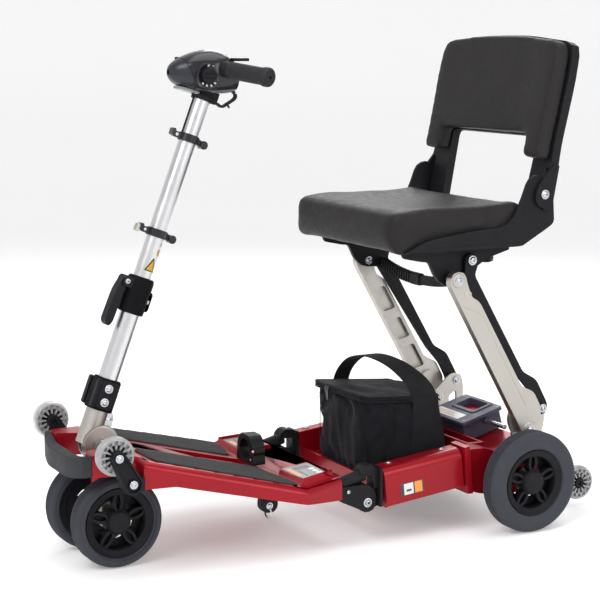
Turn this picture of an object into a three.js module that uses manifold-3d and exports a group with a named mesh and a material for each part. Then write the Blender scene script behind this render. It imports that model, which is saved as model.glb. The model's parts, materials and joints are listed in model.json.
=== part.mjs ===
// Folding four-wheel mobility scooter, as an assembly of separate solids.
// Millimetres, +Z up. The scooter faces -Y and the rider's left is +X.
// The origin is on the floor under the chassis hinge, midway between nose and anti-tip wheels.
import * as THREE from "three";
import { mergeVertices } from "three/addons/utils/BufferGeometryUtils.js";
import Module from "manifold-3d";

const wasm = await Module();
wasm.setup();

// ---------------------------------------------------------------- driving dimensions
const GAP = 0.4; // left between neighbouring pieces
const HINGE = { y: 0, z: 85, r: 20, x: 181 };

const REAR_WHEEL = { y: 332, z: 100, r: 100, rim: 65.6, inner: 218, outer: 265, cap: 23 };
const FRONT_WHEEL = { y: -467, z: 85, r: 85, rim: 65.9, inner: 43.6, outer: 89.3, cap: 21.6 };
const SMALL_WHEEL = { y: -507, z: 233, r: 35.5, inner: 154, outer: 174 };
const ANTI_TIP = { y: 520.5, z: 51, r: 35.5, inner: 138, outer: 158 };

// Deck side line: level cheeks, a slope down to the widest corner, then a gentle rise.
const NOSE_Y = -529;
const DECK = { front: -454, corner: -142, rear: -56, half: 205 };
const DECK_TOP = { nose: 226, front: 218.4, corner: 136, rear: 144 };
const DECK_BOTTOM = { nose: 184, front: 165, corner: 105, rear: 97 };
const DECK_SKIN = 9;
const MAT = 2;
// Channel along the middle of the deck, between the mats.
const CHANNEL = { front: -424, rear: -180, half: 26, depth: 16, wall: 4 };
// Lug with a pull ring below the deck.
const TOW = { x: 160, y: -203.5, z: 103 };

const RAIL = { x0: 150, x1: 192, y0: 36, z0: 73, height: 77, length: 178, slope: 6, wall: 4 };

// Steering and tiller: the knuckle disc, and the tube axis that leans back past it.
const KNUCKLE = { y: -474, z: 219, r: 36, half: 15 };
const TILLER_LEAN = THREE.MathUtils.degToRad(21);
const TILLER_FOOT = { y: -497, z: 221 };
const STUB_R = 21;
const LOWER_TUBE_R = 18.5;
const UPPER_TUBE_R = 16.5;
const HEAD = { y: -258, z: 897 };
const GRIP_END = [136, -187, 889];
const GRIP_START = [52, -226, 901];
const BAR_R = 11;
const PADDLE_Z = 917;
const DIAL_Y = -263;

// Seat lift parallelogram: lower pivots on the bracket, upper pivots on the seat frame.
const LIFT_LOW = { y: 371, z: 188 };
const LIFT_TOP = { y: 195, z: 499 };
const GUIDE_OFFSET = { y: 43, z: 35 };
const LIFT_X = [171, 188];
const GUIDE_X = [161, 168];
const SEAT_PLATE_X = [150, 158];
const BRACKET_X = [144.6, 149.6];
const ARM_X = [150, 189.6];

const BACK_PIVOT = { y: 376, z: 659 };
const BACK_LEAN = THREE.MathUtils.degToRad(12.2);
const SEAT_HALF = 206;

// ---------------------------------------------------------------- materials
const paint = (color, roughness, metalness) =>
  new THREE.MeshStandardMaterial({ color, roughness, metalness });
const RED = paint(0xa00f1e, 0.28, 0.55);
const SILVER = paint(0xb3afa8, 0.38, 0.9);
const TUBE = paint(0xc9c9cd, 0.32, 0.9);
const BLACK_METAL = paint(0x1b1b1d, 0.5, 0.4);
const BLACK_PLASTIC = paint(0x17171a, 0.55, 0.0);
const GLOSS_BLACK = paint(0x101014, 0.2, 0.0);
const TYRE = paint(0x3d4047, 0.75, 0.0);
const MAT_RUBBER = paint(0x4a4a4c, 0.9, 0.0);
const URETHANE = paint(0xb9bbba, 0.35, 0.0);
const VINYL = paint(0x2b2a2d, 0.6, 0.0);
const NYLON = paint(0x141518, 0.9, 0.0);
const BATTERY = paint(0x45435a, 0.55, 0.0);

// ---------------------------------------------------------------- solids from geometry
function toSolid(geometry) {
  const bare = geometry.index ? geometry.toNonIndexed() : geometry.clone();
  for (const name of Object.keys(bare.attributes)) {
    if (name !== "position") bare.deleteAttribute(name);
  }
  const merged = mergeVertices(bare, 1e-3);
  const kept = [];
  const index = merged.index.array;
  for (let i = 0; i < index.length; i += 3) {
    const [a, b, c] = [index[i], index[i + 1], index[i + 2]];
    if (a !== b && b !== c && c !== a) kept.push(a, b, c);
  }
  const vertProperties = new Float32Array(merged.attributes.position.array);
  return new wasm.Manifold(new wasm.Mesh({ numProp: 3, vertProperties, triVerts: new Uint32Array(kept) }));
}

function toGeometry(solid) {
  const { numProp, numVert, vertProperties, triVerts } = solid.getMesh();
  const position = new Float32Array(numVert * 3);
  for (let i = 0; i < numVert; i++) {
    position.set(vertProperties.subarray(i * numProp, i * numProp + 3), i * 3);
  }
  const geometry = new THREE.BufferGeometry();
  geometry.setAttribute("position", new THREE.BufferAttribute(position, 3));
  geometry.setIndex(new THREE.BufferAttribute(triVerts, 1));
  return geometry;
}

const join = (...solids) => solids.reduce((a, b) => a.add(b));
const cut = (solid, ...tools) => tools.reduce((a, b) => a.subtract(b), solid);
const common = (a, b) => a.intersect(b);

// An outline of [u, v] or [u, v, radius] corners; a radius rounds its corner.
function outline(points, segments = 2) {
  const corners = points.map(([u, v]) => new THREE.Vector2(u, v));
  const count = corners.length;
  const shape = new THREE.Shape();
  corners.forEach((corner, i) => {
    const radius = points[i][2] || 0;
    const before = corners[(i + count - 1) % count];
    const after = corners[(i + 1) % count];
    const place = (end) => corner.clone().lerp(end, Math.min(0.49, radius / corner.distanceTo(end)));
    const start = radius ? place(before) : corner;
    if (i === 0) shape.moveTo(start.x, start.y);
    else shape.lineTo(start.x, start.y);
    if (radius) shape.quadraticCurveTo(corner.x, corner.y, place(after).x, place(after).y);
  });
  shape.closePath();
  shape.curveSegments = segments;
  return shape;
}

const slab = (shape, depth) =>
  new THREE.ExtrudeGeometry(shape, { depth, bevelEnabled: false, curveSegments: shape.curveSegments || 4 });

// A plate whose outline is drawn in (y, z) and runs from x0 to x1.
function plateX(points, x0, x1) {
  const turn = new THREE.Matrix4().set(0, 0, 1, x0, 1, 0, 0, 0, 0, 1, 0, 0, 0, 0, 0, 1);
  return toSolid(slab(outline(points), x1 - x0).applyMatrix4(turn));
}

// A plate whose outline is drawn in (x, y) and runs from z0 to z1.
const plateZ = (points, z0, z1) => toSolid(slab(outline(points), z1 - z0).translate(0, 0, z0));

// A plate whose outline is drawn in (x, z) and runs from y0 to y1.
const plateY = (points, y0, y1) =>
  toSolid(slab(outline(points), y1 - y0).rotateX(Math.PI / 2).translate(0, y1, 0));

function box(x0, x1, y0, y1, z0, z1) {
  const geometry = new THREE.BoxGeometry(x1 - x0, y1 - y0, z1 - z0);
  return toSolid(geometry.translate((x0 + x1) / 2, (y0 + y1) / 2, (z0 + z1) / 2));
}

function rod(from, to, radius, sides = 12) {
  const a = new THREE.Vector3(...from);
  const b = new THREE.Vector3(...to);
  const geometry = new THREE.CylinderGeometry(radius, radius, a.distanceTo(b), sides);
  const turn = new THREE.Quaternion().setFromUnitVectors(
    new THREE.Vector3(0, 1, 0),
    b.clone().sub(a).normalize(),
  );
  geometry.applyQuaternion(turn);
  const middle = a.add(b).multiplyScalar(0.5);
  return toSolid(geometry.translate(middle.x, middle.y, middle.z));
}

const pinX = (y, z, x0, x1, radius, sides = 12) => rod([x0, y, z], [x1, y, z], radius, sides);

// A body turned about the X axis through (y, z); its profile holds [radius, x] pairs.
function turnedX(profile, y, z, segments = 32) {
  const points = profile.map(([r, x]) => new THREE.Vector2(r, x));
  const geometry = new THREE.LatheGeometry(points, segments).rotateZ(-Math.PI / 2);
  return toSolid(geometry.translate(0, y, z));
}

const mirrored = (points) => [...points, ...points.map(([x, ...rest]) => [-x, ...rest]).reverse()];

// A point on the tiller axis, a distance along it above its foot and forward or aft of it.
function alongTiller(distance, aft = 0, x = 0) {
  const [s, c] = [Math.sin(TILLER_LEAN), Math.cos(TILLER_LEAN)];
  return [x, TILLER_FOOT.y + distance * s + aft * c, TILLER_FOOT.z + distance * c - aft * s];
}

// Moves a solid drawn upright at the origin onto the tiller axis.
function ontoTiller(geometry, distance) {
  const foot = alongTiller(distance);
  return toSolid(geometry.rotateX(-TILLER_LEAN).translate(...foot));
}

// ---------------------------------------------------------------- assembly
const scooter = new THREE.Group();
scooter.name = "mobility_scooter";

function add(name, solid, material) {
  const mesh = new THREE.Mesh(toGeometry(solid), material);
  mesh.name = name;
  scooter.add(mesh);
  return mesh;
}

// The left piece as drawn, and its mirror image on the right.
function addPair(name, solid, material) {
  add("left_" + name, solid, material);
  add("right_" + name, solid, material).scale.x = -1;
}

// ---------------------------------------------------------------- wheels
function tyreSolid({ y, z, r, rim, inner, outer }) {
  const profile = [
    [rim + GAP, inner + 4],
    [r - 12, inner],
    [r, inner + 8],
    [r, outer - 8],
    [r - 12, outer],
    [rim + GAP, outer - 4],
    [rim + GAP, inner + 4],
  ];
  return turnedX(profile, y, z);
}

function rimSolid({ y, z, rim, inner, outer, cap }) {
  const web = outer - 16;
  const body = turnedX(
    [
      [0, inner + 2],
      [cap, inner + 2],
      [cap, web - 9],
      [rim - 8, web - 9],
      [rim, inner + 5],
      [rim, outer - 5],
      [rim - 8, web],
      [cap, web],
      [cap, outer - 3],
      [0, outer - 3],
    ],
    y,
    z,
    20,
  );
  const windows = [];
  for (let k = 0; k < 5; k++) {
    const angle = Math.PI / 2 + (k * 2 * Math.PI) / 5;
    const corner = (radius, turn) => [
      y + radius * Math.cos(angle + turn),
      z + radius * Math.sin(angle + turn),
    ];
    const low = cap + 5;
    const high = rim - 12;
    const points = [corner(low, -0.28), corner(high, -0.34), corner(high, 0.34), corner(low, 0.28)];
    windows.push(plateX(points, web - 12, web + 3));
  }
  const bore = pinX(y, z, inner, outer - 12, 8);
  return cut(body, ...windows, bore);
}

function addWheels() {
  addPair("rear_tyre", tyreSolid(REAR_WHEEL), TYRE);
  addPair("rear_rim", rimSolid(REAR_WHEEL), BLACK_PLASTIC);
  addPair("front_tyre", tyreSolid(FRONT_WHEEL), TYRE);
  addPair("front_rim", rimSolid(FRONT_WHEEL), BLACK_PLASTIC);
  for (const [name, wheel] of [
    ["bumper_wheel", SMALL_WHEEL],
    ["anti_tip_wheel", ANTI_TIP],
  ]) {
    const { y, z, r, inner, outer } = wheel;
    const profile = [
      [4.5, inner],
      [r - 4, inner],
      [r, inner + 5],
      [r, outer - 5],
      [r - 4, outer],
      [4.5, outer],
      [4.5, inner],
    ];
    addPair(name, turnedX(profile, y, z, 24), URETHANE);
  }
}

// ---------------------------------------------------------------- front deck
const deckPlan = (inset) =>
  mirrored([
    [112 - inset, NOSE_Y],
    [122 - inset, DECK.front - 6],
    [130 - inset, DECK.front],
    [166 - inset, DECK.front + inset, 6],
    [DECK.half - inset, DECK.corner, 14],
    [HINGE.x - inset, DECK.rear - inset],
  ]);

// The deck's side line lowered by a distance, from its front edge to its rear edge.
const deckLine = (drop) => [
  [DECK.front, DECK_TOP.front - drop],
  [DECK.corner, DECK_TOP.corner - drop],
  [DECK.rear, DECK_TOP.rear - drop],
];

// Height of the sloping deck surface.
const deckHeight = (y) =>
  DECK_TOP.front + ((y - DECK.front) * (DECK_TOP.corner - DECK_TOP.front)) / (DECK.corner - DECK.front);

function deckSolid() {
  const side = plateX(
    [
      [NOSE_Y, DECK_TOP.nose, 6],
      [DECK.front - 14, DECK_TOP.nose - 2],
      ...deckLine(0),
      [DECK.rear, DECK_BOTTOM.rear],
      [DECK.corner, DECK_BOTTOM.corner],
      [DECK.front + 60, DECK_BOTTOM.front],
      [DECK.front, DECK_BOTTOM.front],
      [DECK.front - 14, DECK_BOTTOM.nose - 2],
      [NOSE_Y, DECK_BOTTOM.nose],
    ],
    -DECK.half,
    DECK.half,
  );
  const body = common(side, plateZ(deckPlan(0), 50, 260));
  const cavityLine = deckLine(DECK_SKIN);
  cavityLine[0][0] += 8;
  cavityLine[2][0] -= 8;
  const cavityOutline = [...cavityLine, [DECK.rear - 8, 40], [DECK.front + 8, 40]];
  const cavitySide = plateX(cavityOutline, -DECK.half, DECK.half);
  const cavity = common(cavitySide, plateZ(deckPlan(8), 40, 260));
  const noseGap = plateZ(mirrored([[80, NOSE_Y - 5], [50, -445], [44, -426, 8]]), 100, 300);
  const rearNotch = plateZ(mirrored([[62, -40], [74, -102, 6]]), 50, 300);
  // The channel between the mats; its trough is the same shape, grown by the wall.
  const groove = (grow, top, drop) => {
    const [front, rear] = [CHANNEL.front - grow, CHANNEL.rear + grow];
    return plateX(
      [
        [front, deckHeight(front) + top],
        [rear, deckHeight(rear) + top],
        [rear, deckHeight(rear) - drop],
        [front, deckHeight(front) - drop],
      ],
      -CHANNEL.half - grow,
      CHANNEL.half + grow,
    );
  };
  const lobe = (s) => {
    const rise = [[-146, 130], [-140, 146, 4], [-76, 151, 4], [-68, 130]];
    const plan = [[s * 78, -68, 5], [s * 88, -146, 5], [s * 184, -146, 5], [s * 170, -68, 5]];
    return common(plateX(rise, Math.min(60 * s, 190 * s), Math.max(60 * s, 190 * s)), plateZ(plan, 120, 160));
  };
  const frontWall = box(-52, 52, -426, -414, 177, 204);
  const bearing = rod([0, FRONT_WHEEL.y, 128], [0, FRONT_WHEEL.y, 181], 22, 20);
  const bearingArm = box(-24, 24, FRONT_WHEEL.y, -416, 173, 181);
  const bearingRib = box(-24, 24, -432, -416, 173, 205);
  const bore = rod([0, FRONT_WHEEL.y, 120], [0, FRONT_WHEEL.y, 190], 10.4, 20);
  const towLug = plateX(
    [
      [TOW.y - 16, 150],
      [TOW.y - 16, 96, 8],
      [TOW.y - 8, 91, 4],
      [TOW.y + 8, 91, 4],
      [TOW.y + 16, 96, 8],
      [TOW.y + 16, 145],
    ],
    TOW.x - 8,
    TOW.x + 8,
  );
  const wheelSweep = rod([0, FRONT_WHEEL.y, 90], [0, FRONT_WHEEL.y, 176], 127, 24);
  const shell = cut(body, cavity, noseGap, rearNotch, wheelSweep);
  const trough = groove(CHANNEL.wall, -CHANNEL.wall, CHANNEL.depth + CHANNEL.wall);
  const carrier = join(frontWall, bearing, bearingArm, bearingRib);
  const whole = join(shell, trough, lobe(1), lobe(-1), carrier, towLug);
  return cut(whole, bore, groove(0, 40, CHANNEL.depth), pinX(TOW.y, TOW.z, TOW.x - 10, TOW.x + 10, 4.5, 12));
}

// A rubber mat that lies on the sloping deck beside the centre channel.
function matSolid() {
  const layer = plateX(
    [
      [-432, DECK_TOP.front - 5.8 + GAP],
      [-432, DECK_TOP.front - 5.8 + GAP + MAT],
      [-150, 138.1 + GAP + MAT],
      [-150, 138.1 + GAP],
    ],
    10,
    190,
  );
  const plan = plateZ(
    [
      [60, -428, 10],
      [152, -428, 22],
      [188, -170, 14],
      [184, -150, 12],
      [146, -150, 10],
      [64, -174, 12],
      [50, -180, 6],
      [50, -418, 8],
    ],
    100,
    260,
  );
  return common(layer, plan);
}

function bumperSolid() {
  const front = -556;
  const plan = plateZ(
    mirrored([
      [50, front, 24],
      [106, -542, 10],
      [112, NOSE_Y - GAP],
      [82, NOSE_Y - GAP],
      [64, -533, 8],
    ]),
    170,
    240,
  );
  const face = plateY(
    [
      [-114, 225, 4],
      [-114, 185, 8],
      [-60, 174, 20],
      [60, 174, 20],
      [114, 185, 8],
      [114, 225, 4],
      [60, 212, 20],
      [-60, 212, 20],
    ],
    front - 4,
    NOSE_Y,
  );
  return common(plan, face);
}

// The forked arm that carries a bumper wheel at the deck's front corner.
function bumperArmSolid() {
  const { y, z, inner, outer } = SMALL_WHEEL;
  const low = [-481, 183];
  const cheek = (x0, x1) =>
    plateX(
      [
        [y - 14, z + 4, 9],
        [y - 2, z + 15, 9],
        [y + 14, z + 8, 8],
        [low[0] + 20, low[1] + 8, 8],
        [low[0] + 16, low[1] - 16, 10],
        [low[0] - 12, low[1] - 16, 10],
        [low[0] - 20, low[1] + 6, 8],
      ],
      x0,
      x1,
    );
  const block = plateX(
    [
      [low[0] - 8, low[1] - 12],
      [DECK.front - 1, low[1] - 14],
      [DECK.front - 1, low[1] + 6],
      [low[0] - 8, low[1] + 4],
    ],
    inner - 14,
    outer + 2,
  );
  const axle = pinX(y, z, inner - 8, outer + 3, 4, 12);
  return join(cheek(outer + 1.5, outer + 14), cheek(inner - 11, inner - 3), block, axle);
}

// Deck-side half of the chassis hinge: a clevis and the lock bar above it.
function frontHingeSolid() {
  const { z, r, x } = HINGE;
  const cheek = (x0, x1) =>
    plateX(
      [
        [DECK.rear + GAP, 92],
        [-18, 74, 8],
        [-6, z - r, 8],
        [14, z - r + 4, 10],
        [r, z, 8],
        [16, z + 22, 8],
        [0, 121, 6],
        [DECK.rear + GAP, 121],
      ],
      x0,
      x1,
    );
  const base = box(150, x, DECK.rear + GAP, -22, 92, 121);
  const bar = rod([166, DECK.rear + 4, 125], [166, -3, 137], 12, 16);
  const clevis = join(cheek(x - 8, x), cheek(150, 158), base, bar);
  return join(clevis, pinX(0, z, 152, x + 3, 6));
}

// Rail-side half of the chassis hinge: a tongue, a mounting block and the hook over the lock bar.
function rearHingeSolid() {
  const { z } = HINGE;
  const tongue = plateX(
    [
      [-16, z + 4, 6],
      [-10, z - 16, 8],
      [12, z - 16, 8],
      [26, 74],
      [26, 118],
      [4, z + 18, 10],
    ],
    158 + GAP,
    HINGE.x - 8 - GAP,
  );
  const block = box(150, 190, 22, RAIL.y0 - 8.6, 76, 152);
  const crown = common(pinX(3, 139, 152, 180, 19, 24), box(150, 182, -20, 30, 139, 160));
  const hook = join(crown, box(152, 180, 14, 28, 110, 148.6));
  const saddle = rod([166, -30, 131], [166, 12, 141], 13, 16);
  return cut(join(tongue, block, hook), saddle, pinX(0, z, 150, 190, 6 + GAP));
}

function clampSolids() {
  const y = [-172, -144];
  const z = 170;
  const sole = deckHeight(y[0]) + GAP;
  const base = plateY(
    [
      [-36, sole],
      [36, sole],
      [36, z - 18, 4],
      [32, z],
      [-32, z],
      [-36, z - 18, 4],
    ],
    y[0],
    y[1],
  );
  const jaw = plateY(
    [
      [-32, z + GAP],
      [32, z + GAP],
      [32, z + 14, 10],
      [18, z + 30, 8],
      [-18, z + 30, 8],
      [-32, z + 14, 10],
    ],
    y[0],
    y[1],
  );
  const bore = rod([0, -180, z], [0, -136, z], 20, 24);
  add("tiller_clamp_base", cut(base, bore), BLACK_METAL);
  add("tiller_clamp_jaw", cut(jaw, bore), BLACK_METAL);
}

function towRingSolid() {
  const ring = new THREE.TorusGeometry(13, 1.8, 8, 24).rotateX(Math.PI / 2);
  return toSolid(ring.translate(TOW.x, TOW.y, TOW.z - 12));
}

function addFrontDeck() {
  add("front_deck", deckSolid(), RED);
  addPair("deck_mat", matSolid(), MAT_RUBBER);
  add("nose_bumper", bumperSolid(), BLACK_PLASTIC);
  addPair("bumper_arm", bumperArmSolid(), BLACK_METAL);
  addPair("front_hinge_block", frontHingeSolid(), BLACK_METAL);
  clampSolids();
  add("tow_ring", towRingSolid(), SILVER);
}

// ---------------------------------------------------------------- rear frame
function railSolid() {
  const { x0, x1, y0, z0, height, length, slope, wall } = RAIL;
  const section = outline([
    [x0, 0, 3],
    [x0, height, 4],
    [x1, height, 20],
    [x1, 0, 4],
  ]);
  const inside = outline([
    [x0 + wall, wall],
    [x1 - wall, wall],
    [x1 - wall, height - wall, 16],
    [x0 + wall, height - wall],
  ]);
  section.holes.push(new THREE.Path(inside.getPoints(3)));
  const geometry = slab(section, length).rotateX(Math.PI / 2).translate(0, length, 0);
  return toSolid(geometry.rotateX(THREE.MathUtils.degToRad(slope)).translate(0, y0, z0));
}

function crossMemberSolid() {
  const arm = (x0, x1) => {
    const side = plateX(
      [
        [216, 84],
        [208.5, 165],
        [262, 163, 8],
        [300, 148, 8],
        [405, 148, 8],
        [432, 118, 8],
        [424, 78, 8],
        [330, 62, 10],
        [251, 72, 6],
      ],
      x0,
      x1,
    );
    const hollow = plateX(
      [
        [205, 96],
        [205, 152],
        [258, 150],
        [296, 138],
        [298, 100],
      ],
      x0 + 6,
      x1 - 6,
    );
    return cut(side, hollow);
  };
  const collar = plateX(
    [
      [216, 78],
      [206.5, 172],
      [218.5, 174],
      [228, 78],
    ],
    150,
    200,
  );
  const collarHollow = box(154, 188, 195, 240, 96, 152);
  const bearingBore = pinX(REAR_WHEEL.y, REAR_WHEEL.z, 100, 250, 20.4, 24);
  const left = cut(join(arm(...ARM_X), collar), collarHollow, bearingBore);
  const right = toSolid(mirrorX(toGeometry(left)));
  const beam = cut(
    box(-151, 151, 248, 286, 112, 164),
    box(-140, 140, 254, 280, 118, 170),
  );
  const bedTop = (y) => 184 - 50 + (y - 289) * Math.tan(THREE.MathUtils.degToRad(15)) - GAP;
  const bed = plateX(
    [
      [284, bedTop(289) - 5],
      [388, bedTop(388) - 5],
      [388, bedTop(388)],
      [284, bedTop(284)],
    ],
    -142,
    142,
  );
  return join(left, right, beam, bed);
}

// The mirror image of a geometry across the YZ plane, with its faces turned back out.
function mirrorX(geometry) {
  const flipped = geometry.toNonIndexed().applyMatrix4(new THREE.Matrix4().makeScale(-1, 1, 1));
  const position = flipped.attributes.position.array;
  for (let i = 0; i < position.length; i += 9) {
    for (let k = 0; k < 3; k++) {
      [position[i + 3 + k], position[i + 6 + k]] = [position[i + 6 + k], position[i + 3 + k]];
    }
  }
  return flipped;
}

// The triangular bracket that holds the two lower link pivots.
function linkBracketSolid() {
  const high = { y: LIFT_LOW.y + GUIDE_OFFSET.y, z: LIFT_LOW.z + GUIDE_OFFSET.z };
  const plate = plateX(
    [
      [LIFT_LOW.y - 18, LIFT_LOW.z + 2, 10],
      [LIFT_LOW.y - 12, LIFT_LOW.z + 16, 8],
      [high.y - 16, high.z + 16, 8],
      [high.y + 14, high.z + 14, 14],
      [high.y + 20, high.z - 30, 12],
      [high.y - 2, 118, 8],
      [LIFT_LOW.y - 16, 118, 8],
    ],
    ...BRACKET_X,
  );
  const windowCut = plateX(
    [
      [LIFT_LOW.y + 24, LIFT_LOW.z + 2, 6],
      [LIFT_LOW.y + 42, LIFT_LOW.z + 14, 8],
      [LIFT_LOW.y + 44, LIFT_LOW.z - 12, 10],
      [LIFT_LOW.y + 26, LIFT_LOW.z - 22, 6],
    ],
    BRACKET_X[0] - 1,
    BRACKET_X[1] + 1,
  );
  const lowPin = pinX(LIFT_LOW.y, LIFT_LOW.z, BRACKET_X[0] - 2, LIFT_X[1] + 3, 6);
  const highPin = pinX(high.y, high.z, BRACKET_X[0] - 2, GUIDE_X[1] + 3, 6);
  return join(cut(plate, windowCut), lowPin, highPin);
}

function transaxleSolid() {
  const { y, z } = REAR_WHEEL;
  const housing = join(
    pinX(y, z, -118, 118, 24, 24),
    box(-78, -8, y - 34, y + 40, 62, 128),
  );
  const shaft = pinX(y, z, -247, 247, 7.5, 16);
  const bearings = join(pinX(y, z, -212, -110, 20, 24), pinX(y, z, 110, 212, 20, 24));
  return join(housing, shaft, bearings);
}

function batterySolid() {
  const slope = THREE.MathUtils.degToRad(15);
  const depth = 101;
  const body = join(
    box(-60, 60, 4, depth - 4, -46, -8),
    plateZ([[-68, 0, 6], [68, 0, 6], [68, depth, 6], [-68, depth, 6]], -8, 0),
  );
  const handHold = plateZ([[-34, 52, 6], [34, 52, 6], [34, 90, 6], [-34, 90, 6]], -60, 4);
  const solid = cut(body, handHold);
  return toSolid(toGeometry(solid).rotateX(slope).translate(0, 289, 184));
}

function antiTipSolid() {
  const { y, z, inner } = ANTI_TIP;
  const side = (sign) => {
    const [x0, x1] = sign > 0 ? [inner - 10, inner - 3] : [3 - inner, 10 - inner];
    const plate = plateX(
      [
        [y - 12, z - 8, 8],
        [y + 10, z - 10, 8],
        [y + 12, z + 8, 8],
        [448, 112, 8],
        [396, 112, 6],
        [396, 76, 6],
        [440, 72, 6],
      ],
      x0,
      x1,
    );
    const stud = pinX(y, z, ...(sign > 0 ? [inner - 6, inner + 18] : [-inner - 18, 6 - inner]), 4, 12);
    const boss = pinX(408, 94, ...(sign > 0 ? [inner - 6, 149.6] : [-149.6, 6 - inner]), 11);
    return join(plate, stud, boss);
  };
  return join(side(1), side(-1), pinX(430, 92, 10 - inner, inner - 10, 10));
}

function addRearFrame() {
  addPair("rear_rail", railSolid(), RED);
  addPair("rear_hinge_block", rearHingeSolid(), BLACK_METAL);
  add("rear_cross_member", crossMemberSolid(), RED);
  addPair("link_bracket", linkBracketSolid(), SILVER);
  add("transaxle", transaxleSolid(), BLACK_METAL);
  add("drive_motor", rod([-43, 200, 80], [-43, 297, 80], 22, 20), BLACK_METAL);
  add("controller_box", box(10, 110, 110, 230, 62, 100), BLACK_PLASTIC);
  add("floor_tray", join(box(-149.5, 149.5, 38, 247.5, 103, 107), box(-149.5, 149.5, 34, 40, 92, 116)), RED);
  add("anti_tip_frame", antiTipSolid(), BLACK_METAL);
  add("battery_pack", batterySolid(), BATTERY);
  const bag = common(
    plateX([[50, 107.4], [240, 107.4], [210, 254], [42, 267], [42, 255]], -95, 95),
    plateZ([[-95, 42, 14], [95, 42, 14], [90, 240, 14], [-90, 240, 14]], 100, 280),
  );
  add("storage_bag", bag, NYLON);
}

// ---------------------------------------------------------------- seat lift linkage
function liftLinkSolid() {
  const { y: y0, z: z0 } = LIFT_LOW;
  const { y: y1, z: z1 } = LIFT_TOP;
  const plate = plateX(
    [
      [y0 + 20, z0 + 2, 14],
      [y0 + 12, z0 - 16, 12],
      [y0 - 14, z0 - 16, 12],
      [y0 - 24, z0 + 4, 12],
      [y1 - 20, z1 - 6, 12],
      [y1 - 14, z1 + 17, 14],
      [y1 + 14, z1 + 17, 14],
      [y1 + 20, z1 - 6, 8],
      [y1 + 31, z1 - 34, 6],
      [y1 + 49, z1 - 44, 8],
      [y0 - 33, z0 + 106, 6],
      [y0 - 24, z0 + 90, 8],
      [y0 + 6, z0 + 76, 8],
      [y0 + 26, z0 + 40, 8],
    ],
    ...LIFT_X,
  );
  const pins = [pinX(y0, z0, 165, 194, 6 + GAP), pinX(y1, z1, 165, 194, 6 + GAP)];
  // Quarter-round sector on the inner side of the link's foot.
  const sector = plateX(
    [
      [y0 - 6, z0 + 62, 10],
      [y0 - 34, z0 + 54, 14],
      [y0 - 44, z0 + 20, 10],
      [y0 - 34, z0 - 6, 6],
      [y0 - 6, z0 - 6],
    ],
    LIFT_X[0] - 5,
    LIFT_X[0] + 2,
  );
  const along = (t, across) => [y0 + (y1 - y0) * t + across * 0.87, z0 + (z1 - z0) * t + across * 0.49];
  const pocket = (from, to) =>
    plateX(
      [
        [...along(from + 0.02, -13), 5],
        [...along(to, -13), 5],
        [...along(to - 0.02, 15), 5],
        [...along(from, 15), 5],
      ],
      LIFT_X[0] - 1,
      LIFT_X[0] + 9,
    );
  const pockets = [pocket(0.205, 0.385), pocket(0.42, 0.58), pocket(0.627, 0.807)];
  return cut(join(plate, sector), ...pins, ...pockets);
}

function guideLinkSolid() {
  const y0 = LIFT_LOW.y + GUIDE_OFFSET.y;
  const z0 = LIFT_LOW.z + GUIDE_OFFSET.z;
  const y1 = LIFT_TOP.y + GUIDE_OFFSET.y;
  const z1 = LIFT_TOP.z + GUIDE_OFFSET.z;
  const plate = plateX(
    [
      [y0 + 15, z0 + 4, 12],
      [y0 + 8, z0 - 14, 10],
      [y0 - 12, z0 - 13, 10],
      [y0 - 17, z0 + 6, 8],
      [y0 - 34, z0 + 38, 6],
      [y0 - 68, z0 + 76, 8],
      [y1 - 17, z1 - 48, 8],
      [y1 - 15, z1 - 12, 8],
      [y1 - 14, z1 + 13, 12],
      [y1 + 13, z1 + 13, 12],
      [y1 + 16, z1 - 8, 8],
      [y1 + 8, z1 - 30, 6],
      [y0 - 49, z0 + 79, 6],
      [y0 - 16, z0 + 60, 8],
    ],
    ...GUIDE_X,
  );
  return cut(plate, pinX(y0, z0, 155, 175, 6 + GAP), pinX(y1, z1, 155, 175, 6 + 2 * GAP));
}

// ---------------------------------------------------------------- seat
const panPlan = (grow) =>
  mirrored([
    [176 + grow, 60 - grow, 24],
    [207 + grow, 110 - grow, 20],
    [206 + grow, 334 + grow, 16],
  ]);

function seatFrameSolid() {
  const { y: y1, z: z1 } = LIFT_TOP;
  const plate = plateX(
    [
      [84, 561],
      [90, 544, 4],
      [128, 536, 4],
      [146, 534, 6],
      [160, 505, 8],
      [y1 - 16, z1 - 12, 12],
      [y1 + 44, z1 - 16, 8],
      [y1 + 48, z1 + 16, 8],
      [y1 + 62, z1 + 20, 8],
      [y1 + 82, z1 + 34, 6],
      [332, 548],
      [332, 561],
    ],
    ...SEAT_PLATE_X,
  );
  const pan = plateZ(panPlan(0), 560, 568);
  const rib = box(-150, 150, 176, 214, 540, 562);
  const ear = plateX(
    [
      [62, 561],
      [112, 583, 20],
      [220, 596, 30],
      [294, 600, 24],
      [320, 634, 20],
      [342, 690, 12],
      [366, 700, 10],
      [400, 662, 12],
      [404, 602, 8],
      [384, 590, 8],
      [330, 561],
    ],
    199,
    206,
  );
  const liftPin = pinX(y1, z1, 152, LIFT_X[1] + 3, 6);
  const guidePin = pinX(y1 + GUIDE_OFFSET.y, z1 + GUIDE_OFFSET.z, 152, GUIDE_X[1] + 3, 6);
  const backPin = pinX(BACK_PIVOT.y, BACK_PIVOT.z, 200, 213, 6);
  const left = join(plate, ear, liftPin, guidePin, backPin);
  const right = toSolid(mirrorX(toGeometry(left)));
  return join(left, right, pan, rib);
}

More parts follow.
